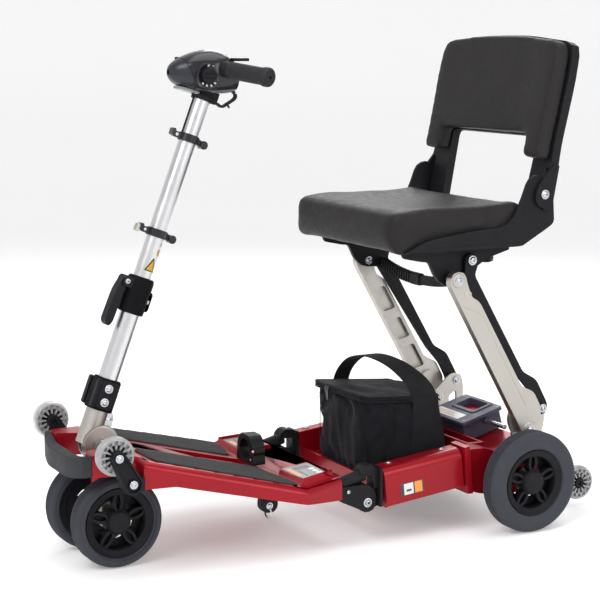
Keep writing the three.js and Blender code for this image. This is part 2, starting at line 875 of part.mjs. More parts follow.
function cushionSolid() {
  const side = plateX(
    [
      [36, 592, 16],
      [38, 634, 22],
      [100, 640, 20],
      [200, 637, 30],
      [300, 641, 20],
      [338, 645, 10],
      [344, 584, 10],
      [340, 568 + GAP],
      [83, 568 + GAP],
      [80, 555, 4],
      [54, 556, 20],
    ],
    -SEAT_HALF,
    SEAT_HALF,
  );
  const plan = plateZ(
    mirrored([
      [150, 34, 40],
      [204, 44, 40],
      [SEAT_HALF, 236, 20],
      [197, 252, 8],
      [197, 340, 16],
    ]),
    540,
    660,
  );
  const earSpace = [
    [197, 540],
    [215, 540],
    [215, 612],
    [SEAT_HALF, 612],
    [197, 600],
  ];
  const leftSpace = plateY(earSpace, 61, 360);
  const rightSpace = plateY(earSpace.map(([x, z]) => [-x, z]).reverse(), 61, 360);
  const panSpace = plateZ(panPlan(GAP), 540, 568 + GAP);
  return cut(common(side, plan), leftSpace, rightSpace, panSpace);
}

// The back's pieces are drawn upright at their pivot, then leaned.
const leanBack = (solid) =>
  toSolid(toGeometry(solid).rotateX(-BACK_LEAN).translate(0, BACK_PIVOT.y, BACK_PIVOT.z));

const backOutline = (inset) =>
  mirrored([
    [60, 312 - inset, 30],
    [206 - inset, 299 - inset, 24],
    [212 - inset, 230, 30],
    [207 - inset, 100, 20],
    [212 - inset, 40, 10],
  ]);

function backSolids() {
  const window = plateY(mirrored([[150, 112, 12], [142, -80]]), -80, 80);
  const shellFace = plateY(
    [...backOutline(0).slice(0, 5), [212, -30], [-212, -30], ...backOutline(0).slice(5)],
    2,
    20,
  );
  const earSlot = (x0, x1) => box(x0, x1, -60, 60, -60, 52);
  const shell = cut(shellFace, window, earSlot(197.6, 206 + GAP), earSlot(-206 - GAP, -197.6));
  const arm = plateX(
    [
      [22, -28, 2],
      [-14, -26, 14],
      [-22, -8, 12],
      [-20, 14, 12],
      [-2, 44, 6],
      [6, 60],
      [20, 60],
    ],
    206 + GAP,
    213.5,
  );
  const rightArm = toSolid(mirrorX(toGeometry(arm)));
  const pivotHoles = [pinX(0, 0, 198, 220, 6 + GAP), pinX(0, 0, -220, -198, 6 + GAP)];
  add("back_frame", leanBack(cut(join(shell, arm, rightArm), ...pivotHoles)), BLACK_PLASTIC);
  const padFace = plateY(backOutline(2), -30, 2 - GAP);
  const padWindow = plateY(mirrored([[150, 112, 12], [150, -80]]), -80, 80);
  const padTrim = box(-220, 220, -60, 20, -60, 66);
  add("back_pad", leanBack(cut(padFace, padWindow, padTrim)), VINYL);
}

function addSeat() {
  addPair("lift_link", liftLinkSolid(), SILVER);
  addPair("guide_link", guideLinkSolid(), BLACK_METAL);
  add("seat_frame", seatFrameSolid(), BLACK_METAL);
  add("seat_cushion", cushionSolid(), VINYL);
  backSolids();
  const knob = join(
    rod([120, 300, 522], [120, 300, 542], 17, 12),
    rod([120, 300, 540], [120, 300, 559.5], 6, 12),
  );
  add("seat_knob", knob, BLACK_PLASTIC);
  const strap = plateY(
    [
      [-149.6, 512],
      [-149.6, 486, 6],
      [-80, 470, 14],
      [0, 464, 14],
      [80, 470, 14],
      [149.6, 486, 6],
      [149.6, 512],
      [80, 492, 14],
      [0, 488, 14],
      [-80, 492, 14],
    ],
    216,
    234,
  );
  add("carry_strap", strap, NYLON);
}

// ---------------------------------------------------------------- steering and tiller
function steeringForkSolid() {
  const { y, z, r, half } = KNUCKLE;
  const disc = pinX(y, z, -half, half, r, 32);
  const slot = box(-6, 6, y - 60, y + 60, z - 16, z + 60);
  const neck = box(-half, half, y - 16, y + 20, 182, z - 14);
  const pin = pinX(y, z, -half - 6, half + 6, 6);
  const boss = join(pinX(y, z, half - 1, half + 8, 14), pinX(y, z, -half - 8, 1 - half, 14));
  const axleY = FRONT_WHEEL.y;
  const kingpin = rod([0, axleY, 84], [0, axleY, 190], 10, 20);
  const crown = box(-36, 36, axleY - 16, axleY + 16, 68, 122);
  const reach = FRONT_WHEEL.outer - 15;
  const axle = pinX(axleY, FRONT_WHEEL.z, -reach, reach, 7.6, 16);
  const spacers = pinX(axleY, FRONT_WHEEL.z, -43, 43, 14, 16);
  return join(cut(disc, slot), neck, pin, boss, kingpin, crown, axle, spacers);
}

function stubSolid() {
  const { y, z, r } = KNUCKLE;
  const tube = rod(alongTiller(-2), alongTiller(112), STUB_R, 24);
  const saddle = pinX(y, z, -40, 40, r + GAP, 32);
  const tongue = plateX(
    [
      [y - 12, z + 8, 8],
      [y - 10, z - 11, 8],
      [y + 11, z - 11, 8],
      [y + 12, z + 14, 8],
      [y + 12, z + 44],
      [y - 26, z + 44],
      [y - 30, z + 20],
    ],
    -5.6,
    5.6,
  );
  const solid = join(cut(tube, saddle), tongue);
  const bore = rod(alongTiller(60), alongTiller(120), LOWER_TUBE_R + GAP, 24);
  return cut(solid, pinX(y, z, -20, 20, 6 + GAP), bore);
}

function addTillerLower() {
  add("tiller_stub", stubSolid(), SILVER);
  const tube = cut(
    rod(alongTiller(61), alongTiller(322), LOWER_TUBE_R, 24),
    rod(alongTiller(72), alongTiller(330), UPPER_TUBE_R + GAP, 24),
  );
  add("lower_tiller_tube", tube, TUBE);
  const cover = new THREE.LatheGeometry(
    [
      [STUB_R + GAP, 0],
      [25, 0],
      [25, 60],
      [LOWER_TUBE_R + GAP, 60],
      [LOWER_TUBE_R + GAP, 50],
      [STUB_R + GAP, 48],
      [STUB_R + GAP, 0],
    ].map(([r, h]) => new THREE.Vector2(r, h)),
    24,
  ).rotateX(Math.PI / 2);
  add("tiller_cover", ontoTiller(cover, 65), BLACK_PLASTIC);
  const collar = cut(
    rod(alongTiller(252), alongTiller(322), 24, 24),
    rod(alongTiller(240), alongTiller(330), LOWER_TUBE_R + GAP, 24),
  );
  const ears = cut(collarBlock(-16, 16, -36, -20, 298, 316), collarBlock(-11.6, 11.6, -40, -24.4, 290, 320));
  const lever = plateX(
    [
      [-30, 66, 6],
      [-38, 70, 8],
      [-46, 40, 10],
      [-48, -22, 6],
      [-38, -30, 6],
      [-32, -20, 6],
      [-30, 30, 6],
    ],
    -11,
    11,
  );
  add("tiller_collar", join(collar, ears), BLACK_PLASTIC);
  const leverSolid = toSolid(
    toGeometry(lever).rotateX(-TILLER_LEAN).translate(...alongTiller(246)),
  );
  add("collar_lever", leverSolid, BLACK_PLASTIC);
}

// A block fixed to the tube, given across, fore-and-aft and along the tiller axis.
function collarBlock(x0, x1, aft0, aft1, low, high) {
  const block = box(x0, x1, aft0, aft1, 0, high - low);
  return toSolid(toGeometry(block).rotateX(-TILLER_LEAN).translate(...alongTiller(low)));
}

function headSolid() {
  const { y, z } = HEAD;
  const side = plateX(
    [
      [y - 64, z + 2, 16],
      [y - 44, z + 26, 18],
      [y - 2, z + 41, 24],
      [y + 34, z + 32, 14],
      [y + 62, z + 12, 8],
      [y + 60, z - 34, 6],
      [y - 16, z - 38, 12],
      [y - 52, z - 20, 14],
    ],
    -48,
    48,
  );
  const plan = plateZ(
    mirrored([
      [20, y - 66, 20],
      [44, y - 40, 20],
      [47, y + 20, 14],
      [40, y + 64, 8],
    ]),
    z - 60,
    z + 60,
  );
  const socket = rod(alongTiller(636), alongTiller(690), UPPER_TUBE_R + GAP, 24);
  const neck = rod(alongTiller(668), alongTiller(700), 21, 24);
  const [x1, y1, z1] = GRIP_START;
  const barBore = (s) => rod([0, y1 - 4, z1 + 2], [s * x1, y1, z1], BAR_R + 1.2, 12);
  const paddleNotch = box(-60, 60, y + 28, y + 80, PADDLE_Z - 0.6, z + 60);
  const dialSeat = rod([30, DIAL_Y, z - 6], [60, DIAL_Y, z - 6], 17, 20);
  return cut(join(common(side, plan), neck), socket, barBore(1), barBore(-1), paddleNotch, dialSeat);
}

function handlebarSolid() {
  const [x1, y1, z1] = GRIP_START;
  const end = GRIP_END;
  const middle = [0, y1 - 4, z1 + 2];
  const half = (s) =>
    join(
      rod(middle, [s * x1, y1, z1], BAR_R, 12),
      rod([s * x1, y1, z1], [s * end[0], end[1], end[2]], BAR_R, 12),
    );
  return join(half(1), half(-1));
}

function gripSolid() {
  const start = new THREE.Vector3(...GRIP_START);
  const end = new THREE.Vector3(...GRIP_END);
  const along = end.clone().sub(start).normalize();
  const at = (point, distance) => point.clone().addScaledVector(along, distance).toArray();
  const sleeve = join(rod(at(start, 5), at(end, 5), 16, 20), rod(at(end, -4), at(end, 6), 17.5, 20));
  return cut(sleeve, rod(at(start, 0), at(end, 0.6), BAR_R + 1.2, 12));
}

function addTillerUpper() {
  const tube = rod(alongTiller(218), alongTiller(684), UPPER_TUBE_R, 24);
  add("upper_tiller_tube", cut(tube, rod(alongTiller(210), alongTiller(676), UPPER_TUBE_R - 2, 24)), TUBE);
  add("head_shell", headSolid(), GLOSS_BLACK);
  add("handlebar", handlebarSolid(), BLACK_METAL);
  addPair("grip", gripSolid(), MAT_RUBBER);
  const { y, z } = HEAD;
  add("speed_dial", rod([31, DIAL_Y, z - 6], [52, DIAL_Y, z - 6], 15.5, 20), BLACK_PLASTIC);
  const top = PADDLE_Z + 5.5;
  const paddle = join(
    box(-62, 62, y + 44, y + 54, PADDLE_Z, top),
    box(48, 66, y + 46, y + 68, PADDLE_Z, top),
    box(-66, -48, y + 46, y + 68, PADDLE_Z, top),
  );
  add("throttle_paddle", paddle, BLACK_PLASTIC);
}

addWheels();
addFrontDeck();
addRearFrame();
addSeat();
add("steering_fork", steeringForkSolid(), SILVER);
addTillerLower();
addTillerUpper();

export default scooter;
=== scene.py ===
import json
import math

import bmesh
import bpy
from mathutils import Matrix, Vector, noise

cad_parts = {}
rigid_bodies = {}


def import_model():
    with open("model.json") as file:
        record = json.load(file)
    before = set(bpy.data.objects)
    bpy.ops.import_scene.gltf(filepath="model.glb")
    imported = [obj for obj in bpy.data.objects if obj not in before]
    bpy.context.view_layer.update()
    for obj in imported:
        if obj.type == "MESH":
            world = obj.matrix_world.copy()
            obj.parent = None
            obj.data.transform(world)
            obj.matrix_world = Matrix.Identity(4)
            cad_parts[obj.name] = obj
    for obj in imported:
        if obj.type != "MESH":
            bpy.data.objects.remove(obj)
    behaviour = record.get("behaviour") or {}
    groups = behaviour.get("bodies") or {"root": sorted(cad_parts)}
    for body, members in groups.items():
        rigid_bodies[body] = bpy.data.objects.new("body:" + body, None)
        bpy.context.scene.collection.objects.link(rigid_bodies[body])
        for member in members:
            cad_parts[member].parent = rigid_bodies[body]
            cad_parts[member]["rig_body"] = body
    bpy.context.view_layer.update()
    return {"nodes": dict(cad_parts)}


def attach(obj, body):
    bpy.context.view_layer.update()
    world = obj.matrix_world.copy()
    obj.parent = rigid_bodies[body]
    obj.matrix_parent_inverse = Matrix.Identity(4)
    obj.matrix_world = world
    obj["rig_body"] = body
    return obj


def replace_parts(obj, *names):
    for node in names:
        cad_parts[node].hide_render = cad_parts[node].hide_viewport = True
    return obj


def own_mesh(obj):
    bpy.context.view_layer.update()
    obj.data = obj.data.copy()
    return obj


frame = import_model()
scene = bpy.context.scene
NODES = frame["nodes"]

# Shapes are drawn in millimetres in the part's frame; as_mesh() turns them into metres.
MM = 0.001
ROUGH_PER_COLOUR = 3.1
SHARP = 32  # degrees between the faces of an edge that a softened copy rounds
SIDES = ("left_", "right_")
REAR_WHEEL = dict(y=332, z=100, r=100, rim=65.6, inner=218, outer=265, cap=23)
FRONT_WHEEL = dict(y=-467, z=85, r=85, rim=65.9, inner=43.6, outer=89.3, cap=21.6)
SMALL_WHEEL = dict(y=-507, z=233, r=35.5, inner=154, outer=174)
ANTI_TIP = dict(y=520.5, z=51, r=35.5, inner=138, outer=158)
# Pivots, as (y, z)
CHASSIS_PIVOT = (0, 85)
KNUCKLE = (-474, 219)
LIFT_FOOT, LIFT_HEAD = (371, 188), (195, 499)
GUIDE_FOOT, GUIDE_HEAD = (414, 223), (238, 534)
BACK_PIVOT = (376, 659)
LEAN = math.radians(21)
FOOT = Vector((0, -497, 221))
TILLER_AXIS = Vector((0, math.sin(LEAN), math.cos(LEAN)))
TILLER_AFT = Vector((0, math.cos(LEAN), -math.sin(LEAN)))
X_AXIS = Vector((1, 0, 0))
Y_AXIS = Vector((0, 1, 0))
Z_AXIS = Vector((0, 0, 1))


# ---------------------------------------------------------------- node materials
class Nodes:
    """A small builder for one material's node tree."""

    def __init__(self, name):
        self.material = bpy.data.materials.new(name)
        self.material.use_nodes = True
        self.tree = self.material.node_tree
        self.shader = self.tree.nodes["Principled BSDF"]
        self.coords = self.tree.nodes.new("ShaderNodeTexCoord").outputs["Object"]

    def feed(self, socket, value):
        """Links another node's output to a socket, or sets the socket to a plain value."""
        if hasattr(value, "node"):
            self.tree.links.new(value, socket)
        else:
            socket.default_value = value

    def add(self, kind, **inputs):
        node = self.tree.nodes.new(kind)
        for key, value in inputs.items():
            self.feed(node.inputs[key.replace("_", " ")], value)
        return node

    def stretched(self, scale):
        return self.add("ShaderNodeMapping", Vector=self.coords, Scale=scale).outputs["Vector"]

    def noise(self, scale, detail, vector=None):
        node = self.add("ShaderNodeTexNoise", Vector=vector or self.coords, Scale=scale, Detail=detail)
        return node.outputs["Fac"]

    def cells(self, scale, feature):
        node = self.add("ShaderNodeTexVoronoi", Vector=self.coords, Scale=scale)
        node.feature = feature
        return node.outputs["Distance"]

    def waves(self, scale, direction):
        node = self.add("ShaderNodeTexWave", Vector=self.coords, Scale=scale, Distortion=0.0)
        node.bands_direction = direction
        return node.outputs["Fac"]

    def remap(self, value, low, high, to_low, to_high):
        node = self.add("ShaderNodeMapRange", Value=value)
        for index, number in enumerate((low, high, to_low, to_high), start=1):
            node.inputs[index].default_value = number
        return node.outputs["Result"]

    def maths(self, operation, a, b):
        node = self.tree.nodes.new("ShaderNodeMath")
        node.operation = operation
        for socket, value in zip(node.inputs, (a, b)):
            self.feed(socket, value)
        return node.outputs[0]

    def colours(self, factor, dark, light):
        ramp = self.add("ShaderNodeValToRGB", Fac=factor)
        ramp.color_ramp.elements[0].color = (*dark, 1)
        ramp.color_ramp.elements[1].color = (*light, 1)
        return ramp.outputs["Color"]

    def link(self, socket, output):
        self.tree.links.new(output, self.shader.inputs[socket])

    def bump(self, height, strength, distance):
        last = self.shader.inputs["Normal"].links
        node = self.add("ShaderNodeBump", Height=height, Strength=strength, Distance=distance)
        if last:
            self.tree.links.new(last[0].from_socket, node.inputs["Normal"])
        self.tree.links.new(node.outputs["Normal"], self.shader.inputs["Normal"])


def surface(name, settings, dark, light, scale, rough, relief, rough_scale=None):
    """A surface with slow colour drift, uneven roughness and fine relief, as every real one has.

    relief is a list of (height(nodes), strength, distance).
    """
    n = Nodes(name)
    for key, value in settings.items():
        n.shader.inputs[key.replace("_", " ")].default_value = value
    n.link("Base Color", n.colours(n.noise(scale, 6), dark, light))
    uneven = n.noise(rough_scale or scale * ROUGH_PER_COLOUR, 5)
    n.link("Roughness", n.remap(uneven, 0.3, 0.7, *rough))
    for height, strength, distance in relief:
        n.bump(height(n), strength, distance)
    return n.material


def grain(scale, detail):
    return lambda n: n.noise(scale, detail)


def pits(scale):
    return lambda n: n.cells(scale, "F1")


def creases(n):
    return n.cells(620, "DISTANCE_TO_EDGE")


def brushed(n):
    return n.noise(40, 4, n.stretched((60, 60, 1.5)))


def pebbles(n):
    return n.remap(n.cells(420, "SMOOTH_F1"), 0.1, 0.6, 1, 0)


def weave(n):
    rows = n.waves(330, "Z")
    columns = n.maths("ADD", n.waves(330, "X"), n.waves(330, "Y"))
    return n.maths("MULTIPLY", rows, columns)


def ribs(n):
    return n.waves(420, "DIAGONAL")


def specular(level, **more):
    return dict(Specular_IOR_Level=level, **more)


def label(name, dark, light):
    settings = specular(0.5, Coat_Weight=0.3, Coat_Roughness=0.2)
    return surface(name, settings, dark, light, 60, (0.32, 0.45), [(grain(500, 2), 0.05, 0.0002)])


RED = surface("red_paint", specular(0.2, Metallic=0.35, Coat_Weight=0.22, Coat_Roughness=0.12),
              (0.25, 0.002, 0.008), (0.33, 0.004, 0.013), 9, (0.28, 0.38), [(pits(2600), 0.05, 0.0002)], 700)
SILVER = surface("satin_silver", dict(Metallic=1.0), (0.43, 0.41, 0.375), (0.52, 0.50, 0.46), 14,
                 (0.36, 0.48), [(grain(900, 3), 0.10, 0.0003)], 60)
TUBE = surface("tube_silver", dict(Metallic=1.0, Anisotropic=0.3), (0.60, 0.60, 0.615), (0.70, 0.70, 0.71),
               10, (0.27, 0.36), [(brushed, 0.04, 0.0003)], 45)
BLACK_METAL = surface("black_metal", specular(0.14), (0.006, 0.006, 0.0075), (0.013, 0.013, 0.015), 22,
                      (0.38, 0.52), [(grain(1500, 2), 0.14, 0.0004)])
BLACK_PLASTIC = surface("black_plastic", specular(0.15), (0.007, 0.007, 0.0085), (0.013, 0.013, 0.0155), 18,
                        (0.46, 0.60), [(pits(1300), 0.16, 0.0004)])
BUMPER_PLASTIC = surface("bumper_plastic", specular(0.2), (0.018, 0.019, 0.022), (0.028, 0.029, 0.033), 18,
                         (0.5, 0.64), [(pits(1100), 0.2, 0.0005)])
GLOSS_BLACK = surface("gloss_black", specular(0.3, Coat_Weight=0.15, Coat_Roughness=0.08),
                      (0.011, 0.011, 0.014), (0.019, 0.018, 0.023), 16, (0.16, 0.26),
                      [(grain(600, 2), 0.03, 0.0003)])
GREY_CAP = surface("grey_cap", specular(0.3, Metallic=0.3, Coat_Weight=0.1, Coat_Roughness=0.15),
                   (0.022, 0.024, 0.030), (0.034, 0.037, 0.044), 16, (0.26, 0.36),
                   [(grain(600, 2), 0.03, 0.0003)])
TYRE = surface("tyre_rubber", specular(0.14), (0.038, 0.040, 0.050), (0.052, 0.055, 0.066), 25,
               (0.55, 0.72), [(grain(420, 5), 0.18, 0.0006), (grain(2200, 2), 0.12, 0.0002)])
RIM = surface("rim_plastic", specular(0.15), (0.006, 0.006, 0.0075), (0.012, 0.012, 0.014), 25,
              (0.42, 0.58), [(grain(900, 3), 0.12, 0.0003)])
URETHANE = surface("clear_urethane", dict(Transmission_Weight=0.35, IOR=1.45, Subsurface_Weight=0.25,
                                          Subsurface_Radius=(0.004, 0.004, 0.004)),
                   (0.40, 0.40, 0.41), (0.52, 0.52, 0.53), 40, (0.16, 0.28), [(grain(300, 3), 0.04, 0.0004)])
MAT_RUBBER = surface("ribbed_rubber", specular(0.15), (0.034, 0.034, 0.036), (0.056, 0.056, 0.058), 30,
                     (0.62, 0.8), [(grain(1400, 3), 0.3, 0.0004)])
GRIP_RUBBER = surface("grip_rubber", specular(0.2), (0.012, 0.012, 0.014), (0.026, 0.026, 0.029), 60,
                      (0.5, 0.7), [(pebbles, 0.55, 0.0008)])
VINYL = surface("black_vinyl", specular(0.14), (0.0155, 0.0140, 0.0148), (0.024, 0.0218, 0.0228), 12,
                (0.42, 0.56), [(creases, 0.28, 0.0005), (grain(1700, 3), 0.14, 0.0003)], 90)
NYLON = surface("black_nylon", specular(0.15, Sheen_Weight=0.06, Sheen_Roughness=0.4),
                (0.005, 0.005, 0.0072), (0.010, 0.0098, 0.0135), 20, (0.68, 0.86), [(weave, 0.35, 0.0004)])
WEBBING = surface("webbing", specular(0.15, Sheen_Weight=0.05, Sheen_Roughness=0.4),
                  (0.008, 0.008, 0.010), (0.018, 0.018, 0.021), 40, (0.66, 0.82), [(ribs, 0.5, 0.0006)])
BATTERY = surface("battery_case", specular(0.4), (0.066, 0.062, 0.098), (0.086, 0.081, 0.124), 18,
                  (0.42, 0.56), [(pits(1200), 0.14, 0.0004)])
ZINC = surface("zinc", dict(Metallic=1.0), (0.46, 0.48, 0.51), (0.60, 0.62, 0.65), 120, (0.18, 0.32),
               [(grain(700, 2), 0.08, 0.0002)], 260)
FLOOR = surface("studio_floor", dict(Emission_Color=(1, 1, 1, 1), Emission_Strength=0.22),
                (0.86, 0.86, 0.865), (0.90, 0.90, 0.905), 0.6, (0.7, 0.85), [])
LABEL_WHITE = label("label_white", (0.62, 0.62, 0.62), (0.72, 0.72, 0.72))
LABEL_GREY = label("label_grey", (0.16, 0.165, 0.17), (0.21, 0.215, 0.22))
LABEL_ORANGE = label("label_orange", (0.72, 0.25, 0.03), (0.80, 0.31, 0.05))
LABEL_YELLOW = label("label_yellow", (0.80, 0.53, 0.02), (0.86, 0.60, 0.03))
# dark print on labels; the same material is also the painted shade in the battery's slots
DARK_PRINT_AND_SHADE = label("dark_print_and_shade", (0.02, 0.02, 0.022), (0.03, 0.03, 0.033))


# ---------------------------------------------------------------- mesh tools
def finish_mesh(mesh, material, angle):
    mesh.materials.clear()
    mesh.materials.append(material)
    mesh.shade_smooth()
    mesh.set_sharp_from_angle(angle=math.radians(angle))


def added(name, data):
    obj = bpy.data.objects.new(name, data)
    scene.collection.objects.link(obj)
    return obj


def place(name, mesh, material, body, angle=35, weighted=True):
    """A new object from a mesh in metres, riding on a body."""
    finish_mesh(mesh, material, angle)
    obj = added(name, mesh)
    if weighted:
        obj.modifiers.new("normals", "WEIGHTED_NORMAL").keep_sharp = True
    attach(obj, body)
    return obj


def as_mesh(name, bm):
    """A drawing in millimetres as a mesh in metres."""
    mesh = bpy.data.meshes.new(name)
    bm.to_mesh(mesh)
    bm.free()
    mesh.transform(Matrix.Scale(MM, 4))
    return mesh


def piece(name, bm, material, body, angle=35):
    """A piece drawn in millimetres."""
    bmesh.ops.recalc_face_normals(bm, faces=bm.faces)
    return place(name, as_mesh(name, bm), material, body, angle)


def mirror_copy(bm):
    """Adds the mirror image across the middle plane to a bmesh."""
    found = bmesh.ops.duplicate(bm, geom=bm.verts[:] + bm.edges[:] + bm.faces[:])["geom"]
    for v in found:
        if isinstance(v, bmesh.types.BMVert):
            v.co.x = -v.co.x
    bmesh.ops.reverse_faces(bm, faces=[f for f in found if isinstance(f, bmesh.types.BMFace)])


def side_pieces(name, draw, material, bodies, angle=35, replaces=None):
    """The left piece as drawn and its mirror image on the right. Each may replace its side's CAD node."""
    for side, body in zip(SIDES, bodies):
        bm = bmesh.new()
        draw(bm)
        if side == "right_":
            for v in bm.verts:
                v.co.x = -v.co.x
        obj = piece(side + name, bm, material, body, angle)
        if replaces:
            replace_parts(obj, side + replaces)


def rounded(points, segments=6):
    """An outline of (u, v) or (u, v, radius) corners with its corners rounded."""
    corners = [Vector(p[:2]) for p in points]
    result = []
    for i, corner in enumerate(corners):
        radius = points[i][2] if len(points[i]) > 2 else 0
        if not radius:
            result.append(corner)
            continue
        before, after = corners[i - 1], corners[(i + 1) % len(corners)]
        start = corner.lerp(before, min(0.49, radius / (before - corner).length))
        end = corner.lerp(after, min(0.49, radius / (after - corner).length))
        for k in range(segments + 1):
            t = k / segments
            result.append((1 - t) ** 2 * start + 2 * t * (1 - t) * corner + t * t * end)
    return result


def frame_outline(x0, x1, y0, y1, radius, segments=5):
    corners = ((x0, y0), (x1, y0), (x1, y1), (x0, y1))
    return rounded([(*corner, radius) for corner in corners], segments)


def circle(u, v, radius, count):
    return [Vector((u + radius * math.cos(a), v + radius * math.sin(a))) for a in turns(count)]


def turns(count):
    return [2 * math.pi * k / count for k in range(count)]


def link_outline(a, b, ra, rb, count=14):
    """The outline round two circles."""
    a, b = Vector(a), Vector(b)
    along = b - a
    base = math.atan2(along.y, along.x)
    spread = math.acos((ra - rb) / along.length)
    points = []
    for k in range(count + 1):
        t = base + spread + (2 * math.pi - 2 * spread) * k / count
        points.append(a + ra * Vector((math.cos(t), math.sin(t))))
    for k in range(count + 1):
        t = base - spread + 2 * spread * k / count
        points.append(b + rb * Vector((math.cos(t), math.sin(t))))
    return points


PLANES = {
    "x": lambda p, d: Vector((d, p[0], p[1])),
    "y": lambda p, d: Vector((p[0], d, p[1])),
    "z": lambda p, d: Vector((p[0], p[1], d)),
}


def bridge(bm, a, b):
    """Faces between two rings of the same size."""
    count = len(a)
    for i in range(count):
        j = (i + 1) % count
        bm.faces.new((a[i], a[j], b[j], b[i]))


def bevel_edges(bm, edges, radius, segments, clamp=True):
    bmesh.ops.bevel(bm, geom=edges, offset=radius, segments=segments, profile=0.5,
                    affect="EDGES", clamp_overlap=clamp)


def bevel_sharp(bm, radius, segments=2, angle=40, test=None):
    """Rounds the edges sharper than angle. With a test, only those that pass it, to their full radius."""
    bm.normal_update()
    edges = [e for e in bm.edges if len(e.link_faces) == 2
             and e.calc_face_angle(0) > math.radians(angle) and (test is None or test(e))]
    bevel_edges(bm, edges, radius, segments, clamp=test is None)


def plate(bm, outline, plane, low, high, bevel=1.0, segments=2):
    """An extruded outline with softened rims."""
    at = PLANES[plane]
    bottom = [bm.verts.new(at(p, low)) for p in outline]
    top = [bm.verts.new(at(p, high)) for p in outline]
    count = len(outline)
    bm.faces.new(bottom)
    bm.faces.new(top)
    bridge(bm, bottom, top)
    if bevel:
        rims = [bm.edges.get((ring[i], ring[(i + 1) % count]))
                for ring in (bottom, top) for i in range(count)]
        bevel_edges(bm, rims, bevel, segments)


def ring_plate(bm, outer, inner, plane, low, high):
    """A plate with one opening; both outlines have the same number of points."""
    at = PLANES[plane]
    rings = [[bm.verts.new(at(p, d)) for p in line] for line, d in
             ((outer, low), (outer, high), (inner, high), (inner, low))]
    for a, b in zip(rings, rings[1:] + rings[:1]):
        bridge(bm, a, b)


def basis(axis):
    axis = Vector(axis).normalized()
    seed = X_AXIS if abs(axis.x) < 0.9 else Y_AXIS
    side = (seed - axis * seed.dot(axis)).normalized()
    return axis, side, axis.cross(side)


def neighbours(rings, closed):
    return zip(rings, rings[1:] + rings[:1] if closed else rings[1:])


def lathe(bm, profile, origin, axis, segments=48, closed=False, shape=None):
    """Turns [radius, distance] pairs round an axis. shape(angle, k) may scale ring k's radius."""
    axis, u, v = basis(axis)
    origin = Vector(origin)
    rings = []
    for k, (radius, distance) in enumerate(profile):
        centre = origin + axis * distance
        if radius < 1e-6:
            rings.append([bm.verts.new(centre)] * segments)
            continue
        ring = []
        for a in turns(segments):
            r = radius * (shape(a, k) if shape else 1)
            ring.append(bm.verts.new(centre + r * (math.cos(a) * u + math.sin(a) * v)))
        rings.append(ring)
    for a, b in neighbours(rings, closed):
        for i in range(segments):
            j = (i + 1) % segments
            corners = list(dict.fromkeys((a[i], a[j], b[j], b[i])))
            if len(corners) > 2:
                bm.faces.new(corners)


def sweep(bm, points, section, closed=False, up=None):
    """Carries a section of (u, v) pairs along a line of points."""
    points = [Vector(p) for p in points]
    count = len(points)
    side = None
    rings = []
    for i, p in enumerate(points):
        before = points[i - 1] if i or closed else points[i]
        after = points[(i + 1) % count] if i < count - 1 or closed else points[i]
        along = (after - before).normalized()
        if up is not None:
            side = along.cross(Vector(up)).normalized()
        elif side is None:
            side = along.orthogonal().normalized()
        else:
            side = (side - along * side.dot(along)).normalized()
        other = side.cross(along)
        line = section(i / max(1, count - 1)) if callable(section) else section
        rings.append([bm.verts.new(p + a * side + b * other) for a, b in line])
    for a, b in neighbours(rings, closed):
        bridge(bm, a, b)
    if not closed:
        bm.faces.new(rings[0])
        bm.faces.new(rings[-1])


def disc(radius, count=12):
    return [(radius * math.cos(a), radius * math.sin(a)) for a in turns(count)]


def box(half_u, half_v):
    return [(-half_u, -half_v), (half_u, -half_v), (half_u, half_v), (-half_u, half_v)]


def smooth_path(points, per_span):
    """A Catmull-Rom line through the points."""
    pts = [Vector(p) for p in points]
    last = len(pts) - 1
    line = []
    for i in range(last):
        a, b, c, d = pts[max(i - 1, 0)], pts[i], pts[i + 1], pts[min(i + 2, last)]
        for k in range(per_span):
            t = k / per_span
            line.append(0.5 * (2 * b + (c - a) * t + (2 * a - 5 * b + 4 * c - d) * t * t
                               + (3 * b - a - 3 * c + d) * t ** 3))
    return line + [pts[-1]]


def screw(bm, at, axis, r, h):
    """A button-head screw of radius r and height h, with a hexagon socket and a washer under it."""
    def hexagon(a, k):
        return math.cos(math.pi / 6) / math.cos(a % (math.pi / 3) - math.pi / 6) if k in (1, 2) else 1

    profile = [(0, h * 0.45), (0.42 * r, h * 0.45), (0.45 * r, h), (0.66 * r, h * 0.97),
               (0.86 * r, h * 0.72), (0.97 * r, h * 0.36), (r, 0.1 * h), (r, -0.6)]
    lathe(bm, profile, at, axis, 24, shape=hexagon)
    lathe(bm, [(r * 0.9, 0.5), (r * 1.3, 0.5), (r * 1.36, 0.2), (r * 1.36, -0.6)], at, axis, 24)


def fasteners(name, body, items, mirrored=False):
    bm = bmesh.new()
    for item in items:
        screw(bm, *item)
    if mirrored:
        mirror_copy(bm)
    piece(name, bm, ZINC, body, 40)


# ---------------------------------------------------------------- softened copies of CAD nodes
def soften(node, material, rounds):
    """A copy of a CAD node with its edges rounded, which replaces the node.

    rounds is a list of (test(edge) or None, radius, segments), applied in order.
    """
    source = NODES[node]
    bm = bmesh.new()
    bm.from_mesh(source.data)
    bmesh.ops.scale(bm, vec=(1 / MM,) * 3, verts=bm.verts)
    bmesh.ops.remove_doubles(bm, verts=bm.verts, dist=0.02)
    bmesh.ops.dissolve_limit(bm, angle_limit=math.radians(0.6), verts=bm.verts, edges=bm.edges)
    bmesh.ops.dissolve_degenerate(bm, edges=bm.edges, dist=0.02)
    for test, radius, segments in rounds:
        bevel_sharp(bm, radius, segments, SHARP, test)
    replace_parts(piece(node + "_skin", bm, material, source["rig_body"]), node)


def middle(edge):
    return (edge.verts[0].co + edge.verts[1].co) / 2


